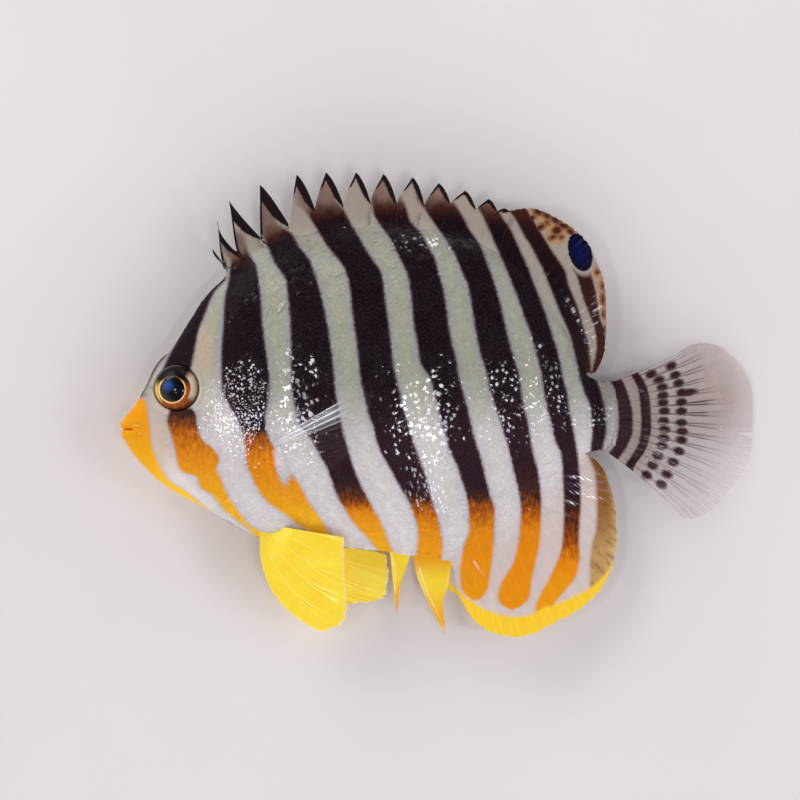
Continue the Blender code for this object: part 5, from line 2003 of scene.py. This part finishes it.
@dataclass(frozen=True)
class BarredFinFinish(WetFinish):
    """The finish of the dorsal and anal fins: bars, eyespot, black wedges, yellow margin and rays."""

    def build(self, group: bpy.types.NodeTree) -> bpy.types.Material:
        """The finished material."""
        material, shader, principled = self.start()
        colour, dark = self.marked(shader, group)
        ray, edge, spot_reach = (shader.value(name) for name in ("ray", "edge", "spot"))
        fuzz = shader.rough(4200.0, 0.25)
        cloud = shader.noise(900.0, 3.0)
        left = shader.value("fade") + (cloud - 0.5) * 0.7
        bare = shader.mix(shader.step(edge, 0.2, 2.0), *FIN_BROWN)
        colour = shader.mix(dark * shader.step(left, 0.92, 0.12), colour, bare)
        ochre = shader.mix(shader.step(shader.value("ripe"), 1.35, 1.58), *OCHRE)
        ochre = shader.mix(ray * shader.step(cloud, 0.4, 0.65) * 0.6, ochre, OCHRE_TICK)
        gold = shader.step(shader.value("gold") + fuzz * 1.4, -0.3, 0.25)
        wedge = shader.step(shader.value("wedge") + fuzz, -0.13, 0.09)
        spot = shader.step(spot_reach + fuzz, -0.1, 0.06)
        eyespot = shader.mix(shader.step(spot_reach, 0.0, 0.9), *EYESPOT)
        for mask, paint in (
            (shader.value("ochre"), ochre), (gold, MARGIN_GOLD), (wedge, WEDGE_BLACK), (spot, eyespot),
        ):
            colour = shader.mix(mask, colour, paint)
        alpha = shader.math("ADD", shader.step(edge, 0.0, 1.0) * 0.12, 0.88, clamp=True)
        shader.feed(principled, {
            "Base Color": shader.shade(colour, ray * 0.05 + 0.96), "Coat Weight": self.film(shader),
            "Alpha": shader.most(gold, wedge, spot, alpha),
        })
        self.texture(shader, principled, shader.value("fold") * 0.06 + ray * 0.02)
        return material


@dataclass(frozen=True)
class YellowFinFinish(GlossFinish):
    """The finish of the pelvic fins and the anal spines: deep yellow with faint rays."""

    def build(self) -> bpy.types.Material:
        """The finished material."""
        material, shader, principled = self.start()
        ray = shader.value("ray")
        colour = shader.mix(ray * 0.2, shader.ramp(shader.noise(420.0, 3.0), YELLOW_WEB), YELLOW_RAY)
        colour = shader.mix(shader.value("tip"), colour, ORANGE_TIP)
        colour = shader.mix(shader.step(shader.value("edge"), 0.3, 0.02), colour, YELLOW_RIM)
        shader.feed(principled, {"Base Color": colour})
        self.texture(shader, principled, ray * 0.008)
        return material


@dataclass(frozen=True)
class ClearFinFinish(GlossFinish):
    """The finish of the see-through fins: a clear web, cloudier rays, and dark bars and dots on the tail."""

    web_alpha: float = 0.27
    ray_alpha: float = 0.62
    web_colour: Colour = (0.46, 0.315, 0.28)
    ray_colour: Colour = (0.16, 0.085, 0.08)
    joint_scale: float = 14.0
    marks: bool = True

    def build(self) -> bpy.types.Material:
        """The finished material."""
        material, shader, principled = self.start()
        ray, share, firm, haze = (shader.value(name) for name in ("ray", "share", "firm", "haze"))
        core = shader.math("MULTIPLY", ray, firm, clamp=True)
        colour = shader.mix(core, self.web_colour, self.ray_colour)
        alpha = shader.most(ray * self.ray_alpha * firm, haze * self.web_alpha)
        alpha *= shader.noise(520.0, 3.0) * 0.5 + 0.75
        # Painted highlight: pale glint streaks along the pectoral fin's top rays
        colour = shader.mix(shader.value("silver"), colour, PAINTED_RAY_GLINT)
        if self.marks:
            fuzz = shader.rough(4200.0, 0.3)
            pale = shader.mix(shader.step(share, 0.02, 0.5), TAIL_PALE, colour)
            bar = shader.step(shader.value("bar") + fuzz, -0.2, 0.16)
            dot = shader.step(shader.value("dot") + fuzz, -0.3, 0.16)
            dark = shader.math("MAXIMUM", shader.most(bar, dot), shader.value("streak") * 0.9, clamp=True)
            colour = shader.mix(dark, pale, TAIL_DARK)
            alpha = shader.math("MAXIMUM", alpha + shader.step(share, 0.5, 0.1) * 0.6, dark, clamp=True)
        shader.feed(principled, {"Base Color": colour, "Alpha": alpha, "Coat Weight": self.film(shader)})
        rays = shader.take("ShaderNodeUVMap", output="UV", uv_map="rays")
        joints = {"Vector": rays, "Scale": self.joint_scale}
        ticks = shader.take("ShaderNodeTexWave", joints, "Fac", bands_direction="Y") * ray * 0.012
        self.texture(shader, principled, ticks + ray * 0.05)
        return material


@dataclass
class PairedFins:
    """The pectoral and pelvic fins of both sides."""

    pectoral_base: Pairs = ((-19.8, -4.3), (-18.9, -8.3))
    pectoral_rims: dict[Side, Pairs] = field(default_factory=lambda: {
        Side.LEFT: ((-8.8, 2.1), (-8.0, 0.0), (-8.6, -2.5), (-10.2, -5.1), (-12.6, -7.6)),
        Side.RIGHT: ((-9.2, -8.6), (-9.3, -11.0), (-10.8, -13.0), (-13.0, -13.9), (-15.2, -13.7)),
    })
    pectoral_lift: dict[Side, float] = field(default_factory=lambda: {Side.LEFT: 1.0, Side.RIGHT: 0.0})
    pelvic_base: Pairs = ((-21.4, -15.6), (-19.7, -15.3))
    pelvic_rims: dict[Side, Pairs] = field(default_factory=lambda: {
        Side.LEFT: ((-14.0, -27.3), (-11.8, -26.6), (-10.9, -24.6), (-11.2, -21.0), (-11.3, -15.8)),
        Side.RIGHT: ((-13.4, -24.6), (-11.2, -24.2), (-6.4, -23.3), (-5.9, -20.4), (-6.2, -18.0)),
    })
    pelvic_level: dict[Side, tuple[float, float]] = field(default_factory=lambda: {
        Side.LEFT: (9.1, 0.36), Side.RIGHT: (4.6, 0.48),
    })

    def pectoral(self, side: Side) -> RayedFin:
        """The clear fan on a flank."""

        def height(x: np.ndarray, y: np.ndarray, share: np.ndarray) -> np.ndarray:
            """The fan's height, which follows the flank and then leaves it."""
            steep = np.minimum(1, share / 0.18)
            clear = -0.45 + 1.26 * steep + self.pectoral_lift[side] * share
            return FISH.middle(x) + side.value * (FISH.flank(x, y) + clear)

        return PectoralFin(
            f"pectoral_{side.title}", self.pectoral_base, self.pectoral_rims[side],
            (-30.0, -8.5), 14, height, web=0.05, ridge=0.08, rim_half=0.03, root_extra=0.1, root_share=0.35,
            sunk=0.5, ray_width=0.12, split=(0.45, 0.75), wave=0.05,
        )

    def pelvic(self, side: Side) -> RayedFin:
        """The yellow fan under the belly."""
        level, slope = self.pelvic_level[side]

        def height(x: np.ndarray, y: np.ndarray, share: np.ndarray) -> np.ndarray:
            """The fan's height, which falls away from the belly."""
            root = FISH.middle(x) + side.value * 0.75
            away = ease(share, 0, 0.3)
            return root * (1 - away) + (level + slope * (y + 15.5)) * away

        return RayedFin(
            f"pelvic_{side.title}", self.pelvic_base, self.pelvic_rims[side],
            (-20.4, 0.0), 6, height, web=0.1, ridge=0.025, bows=(-0.18, 0.0), steps=26, rows=60,
            ray_width=0.06, root_extra=0.3, root_share=0.25, wave=0.1, fray=0.006,
        )


def soft_fins() -> tuple[RayedFin, RayedFin, RayedFin]:
    """The soft dorsal fin, the anal fin and the tail fin."""
    dorsal = SoftDorsalFin(
        "soft_dorsal_fin",
        ((6.9, 18.9), (9.6, 17.1), (12.2, 14.3), (14.8, 10.3), (16.7, 6.4), (17.9, 4.0)),
        ((8.3, 23.3), (11.0, 23.7), (12.8, 23.2), (14.6, 22.3), (16.4, 21.1), (18.2, 19.2), (19.1, 17.2),
         (19.9, 15.0), (20.2, 12.6), (20.2, 9.0), (20.0, 7.0), (19.4, 5.2), (18.7, 4.0)),
        (-2.0, -4.0), 18, lambda x, y, share: FISH.middle(x) - 0.8 * share**2, steps=12, rows=84, ridge=0.04,
    )
    anal = AnalFin(
        "soft_anal_fin",
        ((0.2, -18.1), (3.8, -17.2), (7.4, -15.2), (11.0, -12.3), (14.0, -9.4), (16.4, -6.9), (17.7, -6.1)),
        ((1.0, -22.0), (2.2, -22.8), (3.4, -24.7), (4.6, -26.2), (6.9, -27.5), (9.4, -27.95),
         (11.2, -27.6), (13.4, -26.5), (16.4, -25.0), (18.4, -23.5), (20.2, -21.2), (21.2, -18.6),
         (21.5, -16.2), (21.4, -13.2), (20.8, -10.2), (20.0, -7.9), (18.9, -6.6)),
        (2.0, 4.0), 19, lambda x, y, share: FISH.middle(x) - 1.4 * share**2, steps=13, rows=96,
        fray=0.006, ridge=0.025,
    )
    tail = TailFin(
        "caudal_fin",
        ((20.6, 2.6), (21.2, 0.0), (21.3, -1.5), (21.2, -3.0), (20.6, -5.5)),
        ((30.3, 7.15), (31.9, 7.5), (33.6, 7.2), (35.2, 6.2), (36.9, 4.3), (37.75, 2.4), (38.1, 0.1),
         (38.1, -2.3), (37.9, -4.8), (37.2, -7.3), (36.3, -8.9), (35.1, -10.4), (33.6, -12.1),
         (32.0, -13.2), (30.4, -13.75), (29.2, -13.4)),
        (4.0, -1.4), 17, lambda x, y, share: FISH.middle(x), bows=(-0.03, 0.03), steps=20, rows=92,
        web=0.06, ridge=0.08, root_extra=1.62, root_share=0.3, root_round=1.0, root_level=0.055,
        scallop=0.006, split=(0.1, 0.4), ray_width=0.062,
        cuts=((0.52, 0.006, 0.12), (0.66, 0.003, 0.03), (0.8, 0.003, 0.03)),
    )
    return dorsal, anal, tail


@dataclass(frozen=True)
class Lamp:
    """A soft lamp that looks at the fish: where it is, its two widths in metres, its power and colour."""

    name: str
    place: tuple[float, float, float]
    size: tuple[float, float]
    power: float
    colour: Colour = (0.94, 0.91, 1.0)

    def build(self) -> None:
        """Sets the lamp up."""
        light = bpy.data.lights.new(self.name, "AREA")
        light.shape = "ELLIPSE"
        light.size, light.size_y = self.size
        light.energy, light.color = self.power, self.colour
        lamp = bpy.data.objects.new(self.name, light)
        lamp.location = self.place
        lamp.rotation_euler = (-Vector(self.place)).to_track_quat("-Z", "Y").to_euler()
        bpy.context.scene.collection.objects.link(lamp)


@dataclass(frozen=True)
class Studio:
    """The pale floor, the soft lights and the camera that looks straight down.

    floor_reach is in millimetres, camera_height and picture, the picture's width on the fish, in metres.
    """

    floor_reach: float = 900.0
    sky_strength: float = 1.83
    camera_height: float = 0.9
    sensor: float = 36.0
    picture: float = 800 * PLAN_STEP * MM
    picture_middle: tuple[float, float] = (400.0, 400.0)
    lamps: tuple[Lamp, ...] = (
        Lamp("key", (-0.5, 0.6, 0.3), (0.5, 0.5), 3.6, (1.0, 0.98, 0.96)),
        Lamp("cheek glint", (-0.255, -0.03, 0.565), (0.085, 0.085), 0.27),
        Lamp("gill glint", (-0.21, -0.14, 0.545), (0.05, 0.05), 0.08),
        Lamp("flank glint", (0.077, -0.085, 0.60), (0.085, 0.085), 0.30),
        Lamp("rear glint", (0.41, 0.105, 0.447), (0.06, 0.06), 0.18),
        Lamp("anal fin glint", (0.43, -0.1, 0.42), (0.04, 0.2), 0.42),
        Lamp("belly glint", (0.05, -0.31, 0.53), (0.03, 0.16), 0.13),
        Lamp("back glint", (0.06, 0.585, 0.19), (0.07, 0.07), 0.26),
        Lamp("tail glint", (0.29, -0.045, 0.54), (0.05, 0.05), 0.1),
    )

    def floor(self) -> None:
        """The floor."""
        corners = [(-1, -1, 0), (1, -1, 0), (1, 1, 0), (-1, 1, 0)]
        floor = mesh_piece("floor", np.array(corners) * self.floor_reach, [np.array([[0, 1, 2, 3]])])
        material, shader, principled = new_material("Pale floor", {"Roughness": 0.6})
        shader.feed(principled, {"Base Color": shader.ramp(shader.noise(14.0, 3.0), FLOOR)})
        floor.data.materials.append(material)

    def sky(self) -> None:
        """The soft light from all round, with a dim screen behind the back."""
        world = bpy.data.worlds.new("Studio")
        bpy.context.scene.world = world
        world.use_nodes = True
        sky = Shader(world.node_tree)
        _, depth, height = sky.split(sky.take("ShaderNodeTexCoord", output="Generated"))
        screen = sky.step(depth, 0.25, 0.75) * sky.step(height, 0.06, 0.2) * 0.8
        glow = sky.mix(screen, sky.ramp(height, SKY), DIM_SKY)
        sky.feed(world.node_tree.nodes["Background"], {"Color": glow, "Strength": self.sky_strength})

    def camera(self) -> None:
        """The camera, right above the middle of the picture."""
        data = bpy.data.cameras.new("camera")
        data.sensor_width = self.sensor
        data.lens = self.sensor * (self.camera_height - FISH.level * MM) / self.picture
        data.clip_start = 0.01
        camera = bpy.data.objects.new("camera", data)
        x, y = plan([self.picture_middle])[0]
        camera.location = (x * MM, y * MM, self.camera_height)
        scene = bpy.context.scene
        scene.collection.objects.link(camera)
        scene.camera = camera
        scene.view_settings.view_transform = "Standard"
        scene.view_settings.look = "None"

    def build(self) -> None:
        """Sets the studio up."""
        self.floor()
        self.sky()
        for lamp in self.lamps:
            lamp.build()
        self.camera()


def main() -> None:
    """Builds the fish, piece by piece, around its solids."""
    logging.basicConfig(level=logging.INFO, format="%(name)s: %(message)s")
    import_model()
    Studio().build()
    markings = marking_group()
    body = Body()
    skin = body.build(WetFinish("Barred skin").build(markings))
    report(skin, ("head", "trunk", "tail_stalk"))
    scales = WetFinish(
        "Barred scales", roughness=0.35, coat=1.0, coat_roughness=0.085, grain=0.0015, ripple=0.016
    ).build(markings)
    coat, bars = ScaleCoat(), Markings()
    eye_finish = EyeFinish().build()
    for side in Side:
        roots = FlankScales(body, side).roots()
        patterns = [bars, Markings(TAIL_BARS)]
        report(coat.build(f"scales_{side.title}", roots, patterns, scales))
        report(Eye(side).build(eye_finish), (f"eye_{side.title}",))
    barred = BarredFinFinish("Barred fin", coat=0.8, ripple=0.022, ripple_scale=1300.0).build(markings)
    yellow = YellowFinFinish("Yellow fin", coat=0.35).build()
    tail_finish = ClearFinFinish("Tail fin").build()
    clear = ClearFinFinish(
        "Clear fin", web_alpha=0.03, ray_alpha=0.6, web_colour=(0.3, 0.28, 0.28),
        ray_colour=(0.26, 0.23, 0.23), marks=False, coat=1.0, coat_roughness=0.04,
    ).build()
    dorsal, anal, tail = soft_fins()
    spiny = SpinyDorsalFin()
    report(spiny.build(barred), ("dorsal_fin_spiny",))
    report(dorsal.build(barred), ("dorsal_fin_soft",))
    report(anal.build(barred), ("anal_fin",))
    report(AnalSpines().build(yellow))
    report(tail.build(tail_finish), ("tail_fin",))
    for name, cover, grids, patterns in (
        ("spiny_dorsal_scales", FinScales(cover=3.0), spiny.segments(), [bars]),
        ("soft_dorsal_scales", FinScales(cover=4.6), [dorsal.grid()], [bars, Markings((DORSAL_BAND,))]),
        ("anal_fin_scales", FinScales(cover=5.6, clear_of=ANAL_BAND), [anal.grid()], [bars]),
    ):
        report(coat.build(name, cover.roots(grids), patterns, scales))
    fins = PairedFins()
    for side in Side:
        report(fins.pectoral(side).build(clear), (f"pectoral_fin_{side.title}",))
        report(fins.pelvic(side).build(yellow), (f"pelvic_fin_{side.title}",))


if __name__ == "__main__":
    main()
